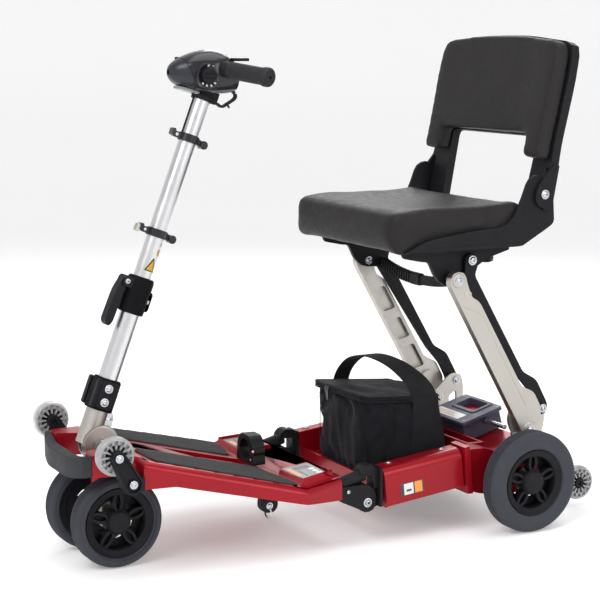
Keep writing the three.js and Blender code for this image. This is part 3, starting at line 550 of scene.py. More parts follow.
SOFTENED = (  # nodes, material, radius and segments of the rounding
    ("left_deck_mat right_deck_mat", MAT_RUBBER, 0.8, 2),
    ("nose_bumper", BUMPER_PLASTIC, 3.5, 4),
    ("left_front_hinge_block left_rear_hinge_block right_front_hinge_block right_rear_hinge_block",
     BLACK_METAL, 1.2, 2),
    ("tiller_clamp_base tiller_clamp_jaw", BLACK_METAL, 1.4, 2),
    ("rear_cross_member", RED, 2.0, 3),
    ("left_link_bracket right_link_bracket", SILVER, 1.0, 2),
    ("anti_tip_frame seat_frame", BLACK_METAL, 1.2, 2),
    ("battery_pack", BATTERY, 1.6, 3),
    ("tiller_stub", SILVER, 0.7, 2),
    ("collar_lever", BLACK_PLASTIC, 2.4, 3),
    ("throttle_paddle", BLACK_PLASTIC, 1.4, 3),
    ("left_lift_link right_lift_link", SILVER, 1.5, 3),
    ("left_guide_link right_guide_link", BLACK_METAL, 1.1, 2),
    ("back_frame", BLACK_PLASTIC, 1.8, 3),
)


# ---------------------------------------------------------------- camera, light and floor
def set_stage():
    camera = added("camera", bpy.data.cameras.new("camera"))
    camera.data.lens = 100.5
    camera.data.sensor_width = 36
    camera.data.clip_end = 60
    camera.location = (2.8425, -1.5736, 0.9649)
    camera.rotation_euler = (math.radians(90 - 9.0), 0, math.radians(61.8))
    scene.camera = camera

    bm = bmesh.new()
    profile = [(0, 0), (1500, 0), (5000, 0), (6200, 60), (7200, 400), (7900, 1100), (8200, 2200),
               (8300, 3400)]
    lathe(bm, profile, (0, 0, 0), Z_AXIS, 96)
    mesh = as_mesh("studio_floor", bm)
    finish_mesh(mesh, FLOOR, 60)
    floor = added("studio_floor", mesh)

    def area(name, place_at, target, size, power):
        light = added(name, bpy.data.lights.new(name, "AREA"))
        light.data.shape = "RECTANGLE"
        light.data.size, light.data.size_y = size
        light.data.energy = power
        light.location = place_at
        light.rotation_euler = (Vector(target) - Vector(place_at)).to_track_quat("-Z", "Y").to_euler()

    area("key", (1.6, -2.6, 3.0), (0, -0.1, 0.35), (1.8, 1.8), 64)
    area("top", (0.2, 0.3, 3.2), (0, 0, 0.3), (2.6, 2.2), 44)
    area("side", (3.2, 1.2, 1.6), (0, 0.1, 0.4), (1.2, 1.8), 24)
    area("back", (-2.4, 1.8, 2.4), (0, 0, 0.5), (2.0, 1.6), 38)
    world = bpy.data.worlds.new("studio")
    world.use_nodes = True
    world.node_tree.nodes["Background"].inputs["Color"].default_value = (1, 1, 1, 1)
    world.node_tree.nodes["Background"].inputs["Strength"].default_value = 0.6
    scene.world = world
    scene.view_settings.view_transform = "Standard"


def lay(verts, origin, u, v):
    """Moves vertices from the z plane onto the plane through origin that u and v span."""
    normal = u.cross(v)
    for vert in verts:
        p = vert.co.copy()
        vert.co = origin + u * p.x + v * p.y + normal * p.z


def plate_on(bm, outline, origin, u, v, low, high, bevel=0.5, segments=2):
    """An extruded outline on the plane through origin that u and v span."""
    old = set(bm.verts)
    plate(bm, outline, "z", low, high, bevel, segments)
    new = [vert for vert in bm.verts if vert not in old]
    lay(new, Vector(origin), Vector(u).normalized(), Vector(v).normalized())


def panels(name, material, body, outlines, plane, low, high, bevel=0):
    """A piece made of plates on one plane, which is (origin, u, v)."""
    bm = bmesh.new()
    for outline in outlines:
        plate_on(bm, outline, *plane, low, high, bevel)
    piece(name, bm, material, body)


def polar(y, z, radius, angle):
    return (y + radius * math.cos(angle), z + radius * math.sin(angle))


def ellipse(y, z, angle, half_long, half_wide, count=24):
    """An ellipse whose long axis points along angle."""
    c, s = math.cos(angle), math.sin(angle)
    on_axes = [(half_long * math.cos(a), half_wide * math.sin(a)) for a in turns(count)]
    return [(y + u * c - v * s, z + u * s + v * c) for u, v in on_axes]


# ---------------------------------------------------------------- wheels
def draw_tyre(bm, wheel, grooves, width, depth):
    r, rim, a, b = (wheel[k] for k in ("r", "rim", "inner", "outer"))
    side = [(rim + 0.4, a + 6), (rim + 3, a + 3), (rim + 12, a + 1), (r - 14, a + 0.2), (r - 9, a + 1.2),
            (r - 4, a + 4), (r - 1.2, a + 8), (r, a + 12)]
    tread = []
    for k in range(grooves):
        c = a + 12 + (b - a - 24) * (k + 0.5) / grooves
        tread += [(r, c - width), (r - depth, c - width / 2), (r - depth, c + width / 2), (r, c + width)]
    profile = side + tread + [(q, a + b - d) for q, d in reversed(side)]
    lathe(bm, profile, (0, wheel["y"], wheel["z"]), X_AXIS, 96, closed=True)


def draw_rim(bm, wheel):
    y, z, rim, a, b, cap = (wheel[k] for k in ("y", "z", "rim", "inner", "outer", "cap"))
    reach = (rim - 11 - cap) / 2
    for k in range(5):
        angle = math.pi / 2 + k * 2 * math.pi / 5
        cy, cz = polar(y, z, cap + reach - 0.5, angle)
        ring_plate(bm, ellipse(cy, cz, angle, reach + 3, 10.5), ellipse(cy, cz, angle, reach - 3.5, 4.6),
                   "x", b - 30, b - 12)
        plate(bm, ellipse(cy, cz, angle, reach - 3, 5), "x", b - 28, b - 22, 0)
    bevel_sharp(bm, 1.0, 2, 60)
    centre = (0, y, z)
    lathe(bm, [(rim, a + 6), (rim, b - 6), (rim - 1, b - 4.4), (rim - 3.5, b - 4), (rim - 6, b - 6.5),
               (rim - 12.6, b - 9), (rim - 14.2, b - 11.5), (rim - 14.6, a + 12), (rim - 10, a + 6)],
          centre, X_AXIS, 80, closed=True)
    lathe(bm, [(37, a + 9), (rim - 9, a + 9), (rim - 9, a + 13), (37, a + 13)], centre, X_AXIS,
          closed=True)
    lathe(bm, [(0, b - 3.4), (cap * 0.6, b - 3.6), (cap * 0.86, b - 4.6), (cap * 0.97, b - 6.4), (cap, b - 9),
               (cap + 1.4, b - 9.4), (cap + 2.4, b - 12), (cap + 2.4, a + 10), (cap - 2, a + 4), (0, a + 4)],
          centre, X_AXIS, 48)


def draw_roller(bm, wheel):
    y, z, r, a, b = (wheel[k] for k in ("y", "z", "r", "inner", "outer"))
    half = [(21.6, a + 1), (23, a), (23.6, a + 5), (28.6, a + 5), (29.2, a), (r - 4, a + 0.3),
            (r - 1.2, a + 2.6), (r, a + 6)]
    lathe(bm, half + [(q, a + b - d) for q, d in reversed(half)], (0, y, z), X_AXIS, 64, closed=True)
    teeth = ((14, 22.8, 29.4, 0.1, 0.08, 0.2, 0.5), (12, 12, 21.8, 0.1, 0.1, 0.5, 0.4))
    for count, near, far, near_half, far_half, inset, bevel in teeth:
        shape = ((near, -near_half), (far, -far_half), (far, far_half), (near, near_half))
        for angle in turns(count):
            plate(bm, [polar(y, z, q, angle + t) for q, t in shape], "x", a + inset, b - inset, bevel)


def draw_roller_hub(bm, wheel):
    y, z, a, b = (wheel[k] for k in ("y", "z", "inner", "outer"))
    half = [(4.6, a - 0.5), (9.5, a - 0.5), (10.5, a + 7), (21.4, a + 7)]
    lathe(bm, half + [(q, a + b - d) for q, d in reversed(half)], (0, y, z), X_AXIS, 48, closed=True)


def make_wheels():
    treads = (("rear", REAR_WHEEL, 3, 2.2, 2.6), ("front", FRONT_WHEEL, 6, 1.0, 1.6))
    for name, wheel, grooves, width, depth in treads:
        bodies = [f"{side}{name}_wheel" for side in SIDES]
        side_pieces(name + "_tyre_tread", lambda bm: draw_tyre(bm, wheel, grooves, width, depth), TYRE,
                    bodies, replaces=name + "_tyre")
        side_pieces(name + "_rim_spokes", lambda bm: draw_rim(bm, wheel), RIM, bodies, 40, name + "_rim")
    for name, wheel in (("bumper", SMALL_WHEEL), ("anti_tip", ANTI_TIP)):
        bodies = [side + name for side in SIDES]
        side_pieces(name + "_roller", lambda bm: draw_roller(bm, wheel), URETHANE, bodies,
                    replaces=name + "_wheel")
        side_pieces(name + "_roller_hub", lambda bm: draw_roller_hub(bm, wheel), RIM, bodies)


# ---------------------------------------------------------------- front deck
DECK_LINE = [(-454, 218.4), (-142, 136), (-56, 144)]
MAT_PLAN = [(60, -428), (152, -428), (188, -170), (184, -150), (146, -150), (64, -174), (50, -180),
            (50, -418)]


def deck_top(y):
    for (y0, z0), (y1, z1) in zip(DECK_LINE, DECK_LINE[1:]):
        if y <= y1:
            return z0 + (y - y0) * (z1 - z0) / (y1 - y0)
    return DECK_LINE[-1][1]


def on_deck_rim(edge):
    m = middle(edge)
    return abs(m.x) > 118 and -455 < m.y < -50 and abs(m.z - deck_top(m.y)) < 1.2


def draw_mat_ribs(bm):
    section = [(-1.5, -0.4), (-1.4, 0.7), (-0.7, 1.3), (0.7, 1.3), (1.4, 0.7), (1.5, -0.4)]
    rib = 53.0
    while rib < 187:
        crossings = []
        for (x0, y0), (x1, y1) in zip(MAT_PLAN, MAT_PLAN[1:] + MAT_PLAN[:1]):
            if (x0 <= rib) != (x1 <= rib):
                crossings.append(y0 + (y1 - y0) * (rib - x0) / (x1 - x0))
        low, high = min(crossings) + 3, max(crossings) - 3
        if high - low > 12:
            ends = [(rib, y, 215.0 + (y + 432) * (140.5 - 215.0) / 282) for y in (low, high)]
            sweep(bm, ends, section, up=Z_AXIS)
        rib += 5.2


def make_deck():
    soften("front_deck", RED, [(on_deck_rim, 15, 8), (None, 1.2, 2)])
    side_pieces("mat_ribs", draw_mat_ribs, MAT_RUBBER, ["front_frame"] * 2, 60)
    bolt_y, bolt_z, low_y, low_z = SMALL_WHEEL["y"], SMALL_WHEEL["z"], -481, 183

    def draw_arm(bm):
        top, low = (bolt_y, bolt_z), (low_y, low_z)
        plate(bm, link_outline(low, top, 19, 14), "x", 175.5, 183, 1.2, 3)
        ring_plate(bm, link_outline(low, top, 18.4, 13.4), link_outline(low, top, 14.6, 9.6),
                   "x", 182.4, 187.8)
        bevel_sharp(bm, 0.9, 2, 60)
        for at in (top, low):
            lathe(bm, [(0, 188), (8.2, 188), (9, 187), (9.4, 182.4)], (0, *at), X_AXIS, 32)
        plate(bm, link_outline((low_y, low_z + 4), top, 15, 12), "x", 143, 151, 1.5, 3)
        foot = [(low_y - 12, low_z - 14, 5), (-455, low_z - 16, 3), (-455, low_z + 8, 3),
                (low_y - 12, low_z + 6, 5)]
        plate(bm, rounded(foot), "x", 141, 176, 1.5, 2)
        lathe(bm, [(4.2, 140), (4.2, 186)], (0, bolt_y, bolt_z), X_AXIS, 24)

    side_pieces("bumper_arm_link", draw_arm, BLACK_METAL, ["front_frame"] * 2, replaces="bumper_arm")
    bolts = [((188, bolt_y, bolt_z), X_AXIS, 5.6, 3.4), ((188, low_y, low_z), X_AXIS, 5.6, 3.4),
             ((181, *CHASSIS_PIVOT), X_AXIS, 6.6, 3.6), ((184, -44, 112), X_AXIS, 2.6, 1.6)]
    fasteners("deck_bolts", "front_frame", bolts, mirrored=True)
    bm = bmesh.new()
    lug = [(-220.5, 126), (-220.5, 98, 9), (-212, 90, 6), (-195, 90, 6), (-186.5, 98, 9), (-186.5, 120)]
    plate(bm, rounded(lug), "x", 151.2, 168.8, 1.6, 3)
    piece("tow_lug", bm, BLACK_PLASTIC, "front_frame")
    fasteners("tow_bolt", "front_frame", [((168.8, -203.5, 103), X_AXIS, 5, 3)])
    bm = bmesh.new()
    wire = [(13 + u, v) for u, v in disc(1.8)]
    lathe(bm, wire, (160, -203.5, 91), Y_AXIS, 40, closed=True)
    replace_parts(piece("tow_ring_round", bm, ZINC, "tow_loop"), "tow_ring")
    make_clamp_details()
    make_stickers()


def make_clamp_details():
    bm = bmesh.new()
    knuckle = [(0, -146), (6, -146), (7, -147), (7, -169), (6, -170), (0, -170)]
    screws = [((26, -172, 154), -Y_AXIS, 2.2, 1.2)]
    for x in (-32, 32):
        lathe(bm, knuckle, (x, 0, 170.2), Y_AXIS, 28)
        screws.append(((x, -170, 170.2), -Y_AXIS, 4, 2.4))
    piece("clamp_hinge_knuckles", bm, BLACK_METAL, "front_frame")
    fasteners("clamp_screws", "front_frame", screws)


def make_stickers():
    card = rounded([(-44, -28, 5), (46, -28, 5), (38, 28, 6), (-40, 28, 6)])
    dots = [circle(x, 17, 6.2, 20) for x in (-6, 9, 24)]
    patches = [frame_outline(-34, -16, -12, 20, 2, 6), frame_outline(-10, 30, -12, -8, 1, 6)]
    parts = (("sticker", LABEL_GREY, [card], 0.0, 0.45), ("sticker_dots", LABEL_WHITE, dots, 0.4, 0.65),
             ("sticker_bar", LABEL_ORANGE, [frame_outline(-30, 24, -25, -17, 3, 6)], 0.4, 0.65),
             ("sticker_panel", DARK_PRINT_AND_SHADE, patches, 0.4, 0.6))
    for side, sign in zip(SIDES, (1, -1)):
        plane = ((sign * 130, -108, 148.5), X_AXIS, (0, 64, 5))
        for name, material, outlines, low, high in parts:
            outlines = [[(p[0] * sign, p[1]) for p in line] for line in outlines]
            panels(side + name, material, "front_frame", outlines, plane, low, high)


# ---------------------------------------------------------------- rear frame
RAIL_SLOPE = math.radians(6)
RAIL_ALONG = Vector((0, math.cos(RAIL_SLOPE), math.sin(RAIL_SLOPE)))
RAIL_UP = Vector((0, -math.sin(RAIL_SLOPE), math.cos(RAIL_SLOPE)))
RAIL_FOOT = Vector((0, 36, 73))


def rail_point(x, height, along):
    return RAIL_FOOT + X_AXIS * x + RAIL_UP * height + RAIL_ALONG * along


def draw_rail(bm):
    section = rounded([(150, 0, 3), (150, 77, 4), (192, 77, 20), (192, 0, 4)], 8)
    rings = [[bm.verts.new(rail_point(x, h, d)) for x, h in section] for d in (0, 178)]
    bridge(bm, *rings)
    bm.faces.new(rings[0])
    bm.faces.new(rings[1])
    bevel_sharp(bm, 1.4, 3, 60)
    for along in (26, 146):
        lathe(bm, [(0, 1.4), (7, 1.4), (8.4, 0.8), (9.2, -1)], rail_point(166, 77, along), RAIL_UP, 32)


def make_rear_frame():
    side_pieces("rail_beam", draw_rail, RED, ["rear_frame"] * 2, replaces="rear_rail")
    labels = (  # name, material, spans along the rail, low, high, lift
        ("dark", DARK_PRINT_AND_SHADE, [(34, 84), (84, 86)], 14, 38, 0.0),
        ("white", LABEL_WHITE, [(41, 62)], 15, 37, 0.25), ("orange", LABEL_ORANGE, [(65, 82)], 15, 37, 0.25),
        ("mark", DARK_PRINT_AND_SHADE, [(46, 57)], 21, 25, 0.5))
    plane = (rail_point(192, 0, 0), RAIL_ALONG, RAIL_UP)
    for name, material, spans, low, high, lift in labels:
        outlines = [[(start, low), (end, low), (end, high), (start, high)] for start, end in spans]
        panels("rail_label_" + name, material, "rear_frame", outlines, plane, lift, lift + 0.3)
    screws = [(rail_point(166, 78.2, along), RAIL_UP, 4.2, 2.4) for along in (26, 146)]
    fasteners("rail_screws", "rear_frame", screws, mirrored=True)
    bracket_bolts = [((x, *pivot), axis, 6.4, 3.6) for x, pivot, axis in
                     ((191, LIFT_FOOT, X_AXIS), (171, GUIDE_FOOT, X_AXIS),
                      (142.6, LIFT_FOOT, -X_AXIS), (142.6, GUIDE_FOOT, -X_AXIS))]
    fasteners("bracket_bolts", "rear_frame", bracket_bolts, mirrored=True)
    make_battery()


BATTERY_SLOPE = math.radians(15)
BATTERY_DEEP = Vector((0, math.cos(BATTERY_SLOPE), math.sin(BATTERY_SLOPE)))
BATTERY_UP = Vector((0, -math.sin(BATTERY_SLOPE), math.cos(BATTERY_SLOPE)))
BATTERY_FOOT = Vector((0, 289, 184))


def make_battery():
    bm = bmesh.new()
    ring_plate(bm, frame_outline(-43, 43, 43, 98, 10), frame_outline(-34, 34, 52, 90, 6), "z", -1, 2.4)
    bevel_sharp(bm, 0.9, 3, 50)
    lay(bm.verts, BATTERY_FOOT, X_AXIS, BATTERY_DEEP)
    for x, radius in ((58, 7), (74, 5)):
        lathe(bm, [(0, 12), (radius - 1, 12), (radius, 11), (radius, -6), (0, -6)],
              BATTERY_FOOT + X_AXIS * x + BATTERY_DEEP * 60 - BATTERY_UP * 18, X_AXIS, 28)
    piece("battery_mouldings", bm, BATTERY, "battery")
    # painted shade: flat dark patches stand in for the shade inside the four open slots in the battery case
    slot_shade_patches = [frame_outline(x - 4.6, x + 4.6, deep - 2.8, deep + 2.8, 2.6)
             for x in (-60, 60) for deep in (10, 92)]
    locator = frame_outline(-32.5, 32.5, 53.5, 88.5, 5)
    lines = [frame_outline(-52, 30 - deep, deep, deep + 1.6, 0.5) for deep in (13, 18, 23)]
    plane = (BATTERY_FOOT, X_AXIS, BATTERY_DEEP)
    panels("battery_slot_shade", DARK_PRINT_AND_SHADE, "battery", slot_shade_patches, plane, 0.05, 0.4)
    panels("battery_locator", RED, "rear_frame", [locator], plane, -44, -12, 1.5)
    panels("battery_label", LABEL_WHITE, "battery", [frame_outline(-58, 38, 8, 31, 1)], plane, 0.1, 0.4)
    panels("battery_label_lines", LABEL_ORANGE, "battery", lines, plane, 0.3, 0.55)
    bm = bmesh.new()
    lathe(bm, [(0, 0), (4.2, 0), (5, 1), (5, 44), (4, 45), (0, 45)],
          BATTERY_FOOT + X_AXIS * 84 + BATTERY_DEEP * 60 - BATTERY_UP * 18, X_AXIS, 28)
    piece("battery_pin", bm, ZINC, "battery")


# ---------------------------------------------------------------- steering and tiller
def along_tiller(distance, aft=0.0, x=0.0):
    return FOOT + TILLER_AXIS * distance + TILLER_AFT * aft + X_AXIS * x


def on_tiller(bm, outline, low, high, bevel=0.8):
    """A plate across the scooter; its outline is in (aft, distance along the tiller)."""
    plate_on(bm, outline, FOOT, TILLER_AFT, TILLER_AXIS, low, high, bevel)


def tiller_turned(bm, profile, shape=None, segments=64, closed=True):
    lathe(bm, profile, FOOT, TILLER_AXIS, segments, closed, shape)


def squarish(angle, k):
    return (abs(math.cos(angle)) ** 2.7 + abs(math.sin(angle)) ** 2.7) ** (-1 / 2.7)


def wrapped(bm, radius, centre, distance, height, half_width, rows=8):
    """A thin patch lying round the tiller tube. half_width(t) is its half width at height t."""
    grid = []
    for i in range(rows + 1):
        t = i / rows
        row = []
        for k in range(9):
            a = centre + (k / 4 - 1) * max(0.3, half_width(t)) / radius
            outward = math.cos(a) * X_AXIS + math.sin(a) * TILLER_AFT
            row.append(bm.verts.new(along_tiller(distance + height * t) + radius * outward))
        grid.append(row)
    faces = []
    for a, b in zip(grid, grid[1:]):
        for k in range(8):
            faces.append(bm.faces.new((a[k], a[k + 1], b[k + 1], b[k])))
    bmesh.ops.solidify(bm, geom=faces, thickness=0.25)


def make_tiller():
    def on_knuckle_rim(edge):
        m = middle(edge)
        return abs(abs(m.x) - 15) < 0.4 and 34.5 < math.dist(m.yz, KNUCKLE) < 36.6

    soften("steering_fork", SILVER, [(on_knuckle_rim, 5.5, 4), (None, 0.8, 2)])
    fasteners("knuckle_bolts", "steering", [((23, *KNUCKLE), X_AXIS, 6.5, 3.4)], mirrored=True)

    bm = bmesh.new()
    tiller_turned(bm, [(17, 61), (18.5, 61), (18.5, 321), (17.6, 322), (17, 322)])
    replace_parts(piece("lower_tube_round", bm, TUBE, "tiller"), "lower_tiller_tube")
    bm = bmesh.new()
    tiller_turned(bm, [(14.5, 218), (16.5, 218), (16.5, 684), (14.5, 684)])
    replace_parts(piece("upper_tube_round", bm, TUBE, "tiller_head"), "upper_tiller_tube")

    bm = bmesh.new()
    tiller_turned(bm, [(21.5, 65), (23.6, 65), (25, 66.5), (25.4, 95), (25, 121), (23, 125), (19, 125)],
                  squarish)
    on_tiller(bm, frame_outline(-19, 15, 69, 121, 7), 20, 27.4, 2)
    spine = [(-27, 68, 3), (-19, 68, 3), (-12, 95, 8), (-19, 122, 3), (-27, 122, 3)]
    on_tiller(bm, rounded(spine), 14, 25.6, 2)
    mirror_copy(bm)
    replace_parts(piece("tiller_cover_shell", bm, BLACK_PLASTIC, "tiller"), "tiller_cover")
    bolts = [(along_tiller(d, -3, 27.4), X_AXIS, 6, 3) for d in (82, 108)]
    fasteners("cover_bolts", "tiller", bolts, mirrored=True)
    bm = bmesh.new()
    bow = ((68, 22), (60, 31), (50, 33), (41, 30), (38, 22))
    sweep(bm, smooth_path([along_tiller(*p) for p in bow], 6), disc(3.2))
    on_tiller(bm, frame_outline(18, 35, 34, 52, 4), -6, 6)
    on_tiller(bm, frame_outline(19, 30, 54, 64, 3), -5, 5)
    piece("stub_catch", bm, ZINC, "tiller")

    bm = bmesh.new()
    tiller_turned(bm, [(18.9, 252), (22.5, 252), (24.2, 254), (24.6, 262), (24.2, 292), (25.4, 296),
                       (25.4, 314), (24.2, 320), (21.5, 322.4), (18.9, 322.4)])
    ear = [(-20, 297, 2), (-36, 297, 4), (-39, 307, 6), (-36, 317, 4), (-20, 317, 2)]
    on_tiller(bm, rounded(ear), 11.8, 16.5)
    on_tiller(bm, frame_outline(19.4, 30, 262, 300, 5), -7, 7, 2)
    mirror_copy(bm)
    lathe(bm, [(0, -17.5), (3, -17.5), (3, 17.5), (0, 17.5)], along_tiller(307, -31), X_AXIS, 20)
    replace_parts(piece("tiller_collar_round", bm, BLACK_PLASTIC, "tiller"), "tiller_collar")
    screws = [(along_tiller(281, 23, 7), X_AXIS, 3, 1.6), (along_tiller(307, -31, 16.5), X_AXIS, 3.6, 2)]
    fasteners("collar_screws", "tiller", screws, mirrored=True)
    make_tiller_rings()


RINGS = (408, 593)


def make_tiller_rings():
    bm = bmesh.new()
    band = ((16.7, -7.5), (19.4, -7.5), (20.2, -6.5), (20.2, 6.5), (19.4, 7.5), (16.7, 7.5))
    lugs = ((6, ((-37, -1, 2), (-34, -6, 3), (-17, -6, 2), (-17, 6, 2), (-34, 5, 3))),
            (8, ((-38, -4, 2), (-33, -5, 2), (-31, 7, 2), (-35, 10, 2), (-38, 8, 2))),
            (6, ((17, -7, 2), (30, -8, 4), (33, 0, 4), (17, 7, 2))))
    knob = [(0, -10), (6.4, -10), (8, -8.4), (8, 8.4), (6.4, 10), (0, 10)]
    for d in RINGS:
        tiller_turned(bm, [(r, d + along) for r, along in band])
        for half, line in lugs:
            on_tiller(bm, rounded([(aft, d + along, r) for aft, along, r in line]), -half, half)
        lathe(bm, knob, along_tiller(d - 2, 31), X_AXIS, 28)
    piece("tiller_rings", bm, GLOSS_BLACK, "tiller_head")
    bm = bmesh.new()
    on_tiller(bm, rounded([(-45, 400, 3), (-38, 399, 2), (-38, 414, 2), (-44, 415, 3)]), -6, 6)
    piece("ring_lug", bm, SILVER, "tiller_head")
    screws = [(along_tiller(d, -27, 6), X_AXIS, 2.2, 1.0) for d in RINGS]
    fasteners("ring_screws", "tiller_head", screws, mirrored=True)
    bm = bmesh.new()
    sweep(bm, [along_tiller(d, -17.6, 2) for d in (600, 670)], disc(1.2))
    piece("tiller_wire", bm, BLACK_PLASTIC, "tiller_head")

    def half_disc(t):
        return 8 * math.sqrt(max(0, 1 - (2 * t - 1) ** 2))

    patches = (("patch_dark", DARK_PRINT_AND_SHADE, 16.62, 0.25, 336, 26, lambda t: 11 * (1 - t) + 1),
               ("patch_yellow", LABEL_YELLOW, 16.8, 0.25, 338, 20, lambda t: 8.5 * (1 - t)),
               ("patch_round", LABEL_YELLOW, 16.65, 0.9, 366, 16, half_disc),
               ("patch_white", LABEL_WHITE, 16.65, 0.9, 386, 7, lambda t: 6))
    for name, material, radius, centre, distance, height, width in patches:
        bm = bmesh.new()
        wrapped(bm, radius, centre, distance, height, width)
        piece(name, bm, material, "tiller_head")


# ---------------------------------------------------------------- control head
HEAD_LOFT = [  # y, half width, low, high
    (-324, 5, 892, 902), (-321, 12, 886, 908), (-314, 21, 878, 915), (-302, 30, 871, 922),
    (-286, 38, 865, 929), (-266, 44, 860, 935), (-246, 47, 857, 938), (-226, 46.5, 857, 935),
    (-210, 44, 858, 927), (-199, 41, 860, 918),
]


def head_loft(bm, grow=1.0, count=56):
    stations = smooth_path([Vector(s) for s in HEAD_LOFT], 4)
    rings = []
    for y, half, low, high in stations:
        centre, tall = (low + high) / 2, (high - low) / 2
        ring = []
        for a in turns(count):
            c, s = math.cos(a), math.sin(a)
            x = half * grow * math.copysign(abs(c) ** 0.78, c)
            z = centre + tall * grow * math.copysign(abs(s) ** 0.82, s)
            ring.append(bm.verts.new((x, y, z)))
        rings.append(ring)
    for a, b in zip(rings, rings[1:]):
        bridge(bm, a, b)
    bm.faces.new(rings[0])
    bm.faces.new(rings[-1])


def keep_side(bm, point, normal):
    """Cuts a closed mesh by a plane, keeps the side the normal points away from, and closes the cut."""
    geometry = bm.verts[:] + bm.edges[:] + bm.faces[:]
    bmesh.ops.bisect_plane(bm, geom=geometry, plane_co=point, plane_no=normal, clear_outer=True)
    bmesh.ops.holes_fill(bm, edges=[e for e in bm.edges if e.is_boundary], sides=0)


CAP_SEAM = (Vector((0, -292, 897)), Vector((0, -0.94, -0.34)))
HOOD_SEAM = (Vector((0, -262, 907)), Vector((0, 0.42, -0.91)))
REAR_SEAM = (Vector((0, -219, 897)), Vector((0, 0.97, -0.24)))


def make_head():
    cuts = (("head_cap", GREY_CAP, 1.0, [(CAP_SEAM, 1, 0.5)]),
            ("head_body", GLOSS_BLACK, 1.0, [(CAP_SEAM, -1, 0.5), (REAR_SEAM, -1, 0.5)]),
            ("head_rear", BLACK_PLASTIC, 0.985, [(REAR_SEAM, 1, 0.5)]),
            ("head_core", BLACK_PLASTIC, 0.965, []),
            ("head_hood", GLOSS_BLACK, 1.035, [(HOOD_SEAM, 1, 0), (CAP_SEAM, -1, 1.2)]))
    made = []
    for name, material, grow, planes in cuts:
        bm = bmesh.new()
        head_loft(bm, grow)
        for (point, outward), sign, gap in planes:
            normal = outward.normalized() * -sign
            keep_side(bm, point - normal * gap, normal)
        bevel_sharp(bm, 0.9, 2, 50)
        made.append(piece(name, bm, material, "tiller_head"))
    bm = bmesh.new()
    tiller_turned(bm, [(16.9, 668), (19.8, 668), (20.4, 669), (20.4, 677), (19, 678.4), (19, 680),
                       (21.4, 681), (21.4, 700), (16.9, 700)])
    on_tiller(bm, frame_outline(14, 30, 669, 694, 4), -5, 5, 1.5)
    made.append(piece("head_neck", bm, BLACK_PLASTIC, "tiller_head"))
    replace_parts(made[1], "head_shell")
    make_head_details()
    make_dial()
    side_pieces("grip_sleeve", draw_grip, GRIP_RUBBER, ["tiller_head"] * 2, replaces="grip")


def make_head_details():
    bm = bmesh.new()
    loop = [(-204, 868), (-193, 860), (-187.5, 853), (-190, 846), (-203, 838), (-216, 832), (-226, 838)]
    sweep(bm, smooth_path([(0, *p) for p in loop], 4), box(4.5, 2.2), up=(0, -0.6, 0.8))
    lathe(bm, [(2, -1), (2, 7), (1.2, 8), (0, 8)], (0, -204, 836), (0, 0.5, -0.85), 16)
    piece("hand_loop", bm, BLACK_PLASTIC, "tiller_head")
    bm = bmesh.new()
    plate_on(bm, frame_outline(-17, 17, -22, 20, 5), (0, -286, 865), X_AXIS, (0, 1, -0.28), -3.4, 1.2, 1)
    piece("head_underside", bm, LABEL_GREY, "tiller_head")
    screws = [((x, y, 861.8 - 0.28 * (y + 286)), (0, -0.27, -0.96), 2, 1.2)
              for x in (-11, 11) for y in (-301, -273)]
    fasteners("underside_screws", "tiller_head", screws)
    bm = bmesh.new()
    switch = [(-66, -282, 4), (-63, -270, 4), (-38, -266, 2), (-36, -284, 2)]
    plate(bm, rounded(switch), "z", 917, 924, 1.5, 3)
    piece("far_switch", bm, BLACK_PLASTIC, "tiller_head")
    bm = bmesh.new()
    for sign in (1, -1):
        root, tip = Vector((sign * 38, -233, 903)), Vector((sign * 58, -222.5, 900.2))
        long = (tip - root).length
        lathe(bm, [(0, -4), (15.4, -4), (15, long * 0.5), (14, long * 0.9), (12.6, long), (0, long)],
              root, tip - root, 36)
    piece("bar_sockets", bm, BLACK_PLASTIC, "tiller_head")


def make_dial():
    y, z = -263, 891
    centre = (0, y, z)
    bm = bmesh.new()
    lathe(bm, [(0, 36), (15.2, 36), (15.8, 44), (21.5, 47.6), (23, 47), (24, 44), (24, 36)], centre, X_AXIS)
    piece("dial_bezel", bm, GLOSS_BLACK, "tiller_head")
    bm = bmesh.new()
    for k in range(9):
        a = math.radians(-130 + k * 27.5)
        rings = []
        for lift in (0.25, -0.3):
            ring = []
            for q, t in ((16.4, -0.11), (20.2, -0.1), (20.2, 0.1), (16.4, 0.11)):
                x = 44.4 + (q - 15.8) * 3.6 / 5.7 + lift
                ring.append(bm.verts.new((x, *polar(y, z, q, a + t))))
            rings.append(ring)
        for ring in rings:
            bm.faces.new(ring)
        bridge(bm, *rings)
    piece("dial_ticks", bm, LABEL_WHITE, "tiller_head")
    bm = bmesh.new()

    def ribbed(a, k):
        return 1 + (0.03 * math.cos(14 * a) if k < 3 else 0)

    lathe(bm, [(15, 37), (14.8, 46), (14.2, 50.5), (12.6, 51.6), (5, 50.6), (0, 50.4)], centre, X_AXIS, 84,
          shape=ribbed)
    plate(bm, frame_outline(y - 11.5, y + 11.5, z - 2.2, z + 2.2, 1.6), "x", 49, 54.5, 1)
    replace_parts(piece("dial_knob", bm, BLACK_PLASTIC, "dial"), "speed_dial")


def draw_grip(bm):
    start, end = Vector((52, -226, 901)), Vector((136, -187, 889))
    length = (end - start).length
    collar = [(11.6, 5), (15.2, 5), (16.2, 6), (16.4, 9), (15.9, 11)]
    tip = ((16.1, -13), (16.3, -11), (17.7, -9), (18.1, -3), (17.4, 2.2), (15.4, 4.4), (3.4, 4.8),
           (2.8, 4), (2.6, -1), (0, -1))
    lathe(bm, collar + [(r, length + past) for r, past in tip], start, end - start, 56)


# ---------------------------------------------------------------- seat linkage
LINK_TOP = Vector((0, *LIFT_HEAD))
LINK_DOWN = Vector((0, 176, -311)).normalized()
LINK_ACROSS = Vector((0, 311, 176)).normalized()


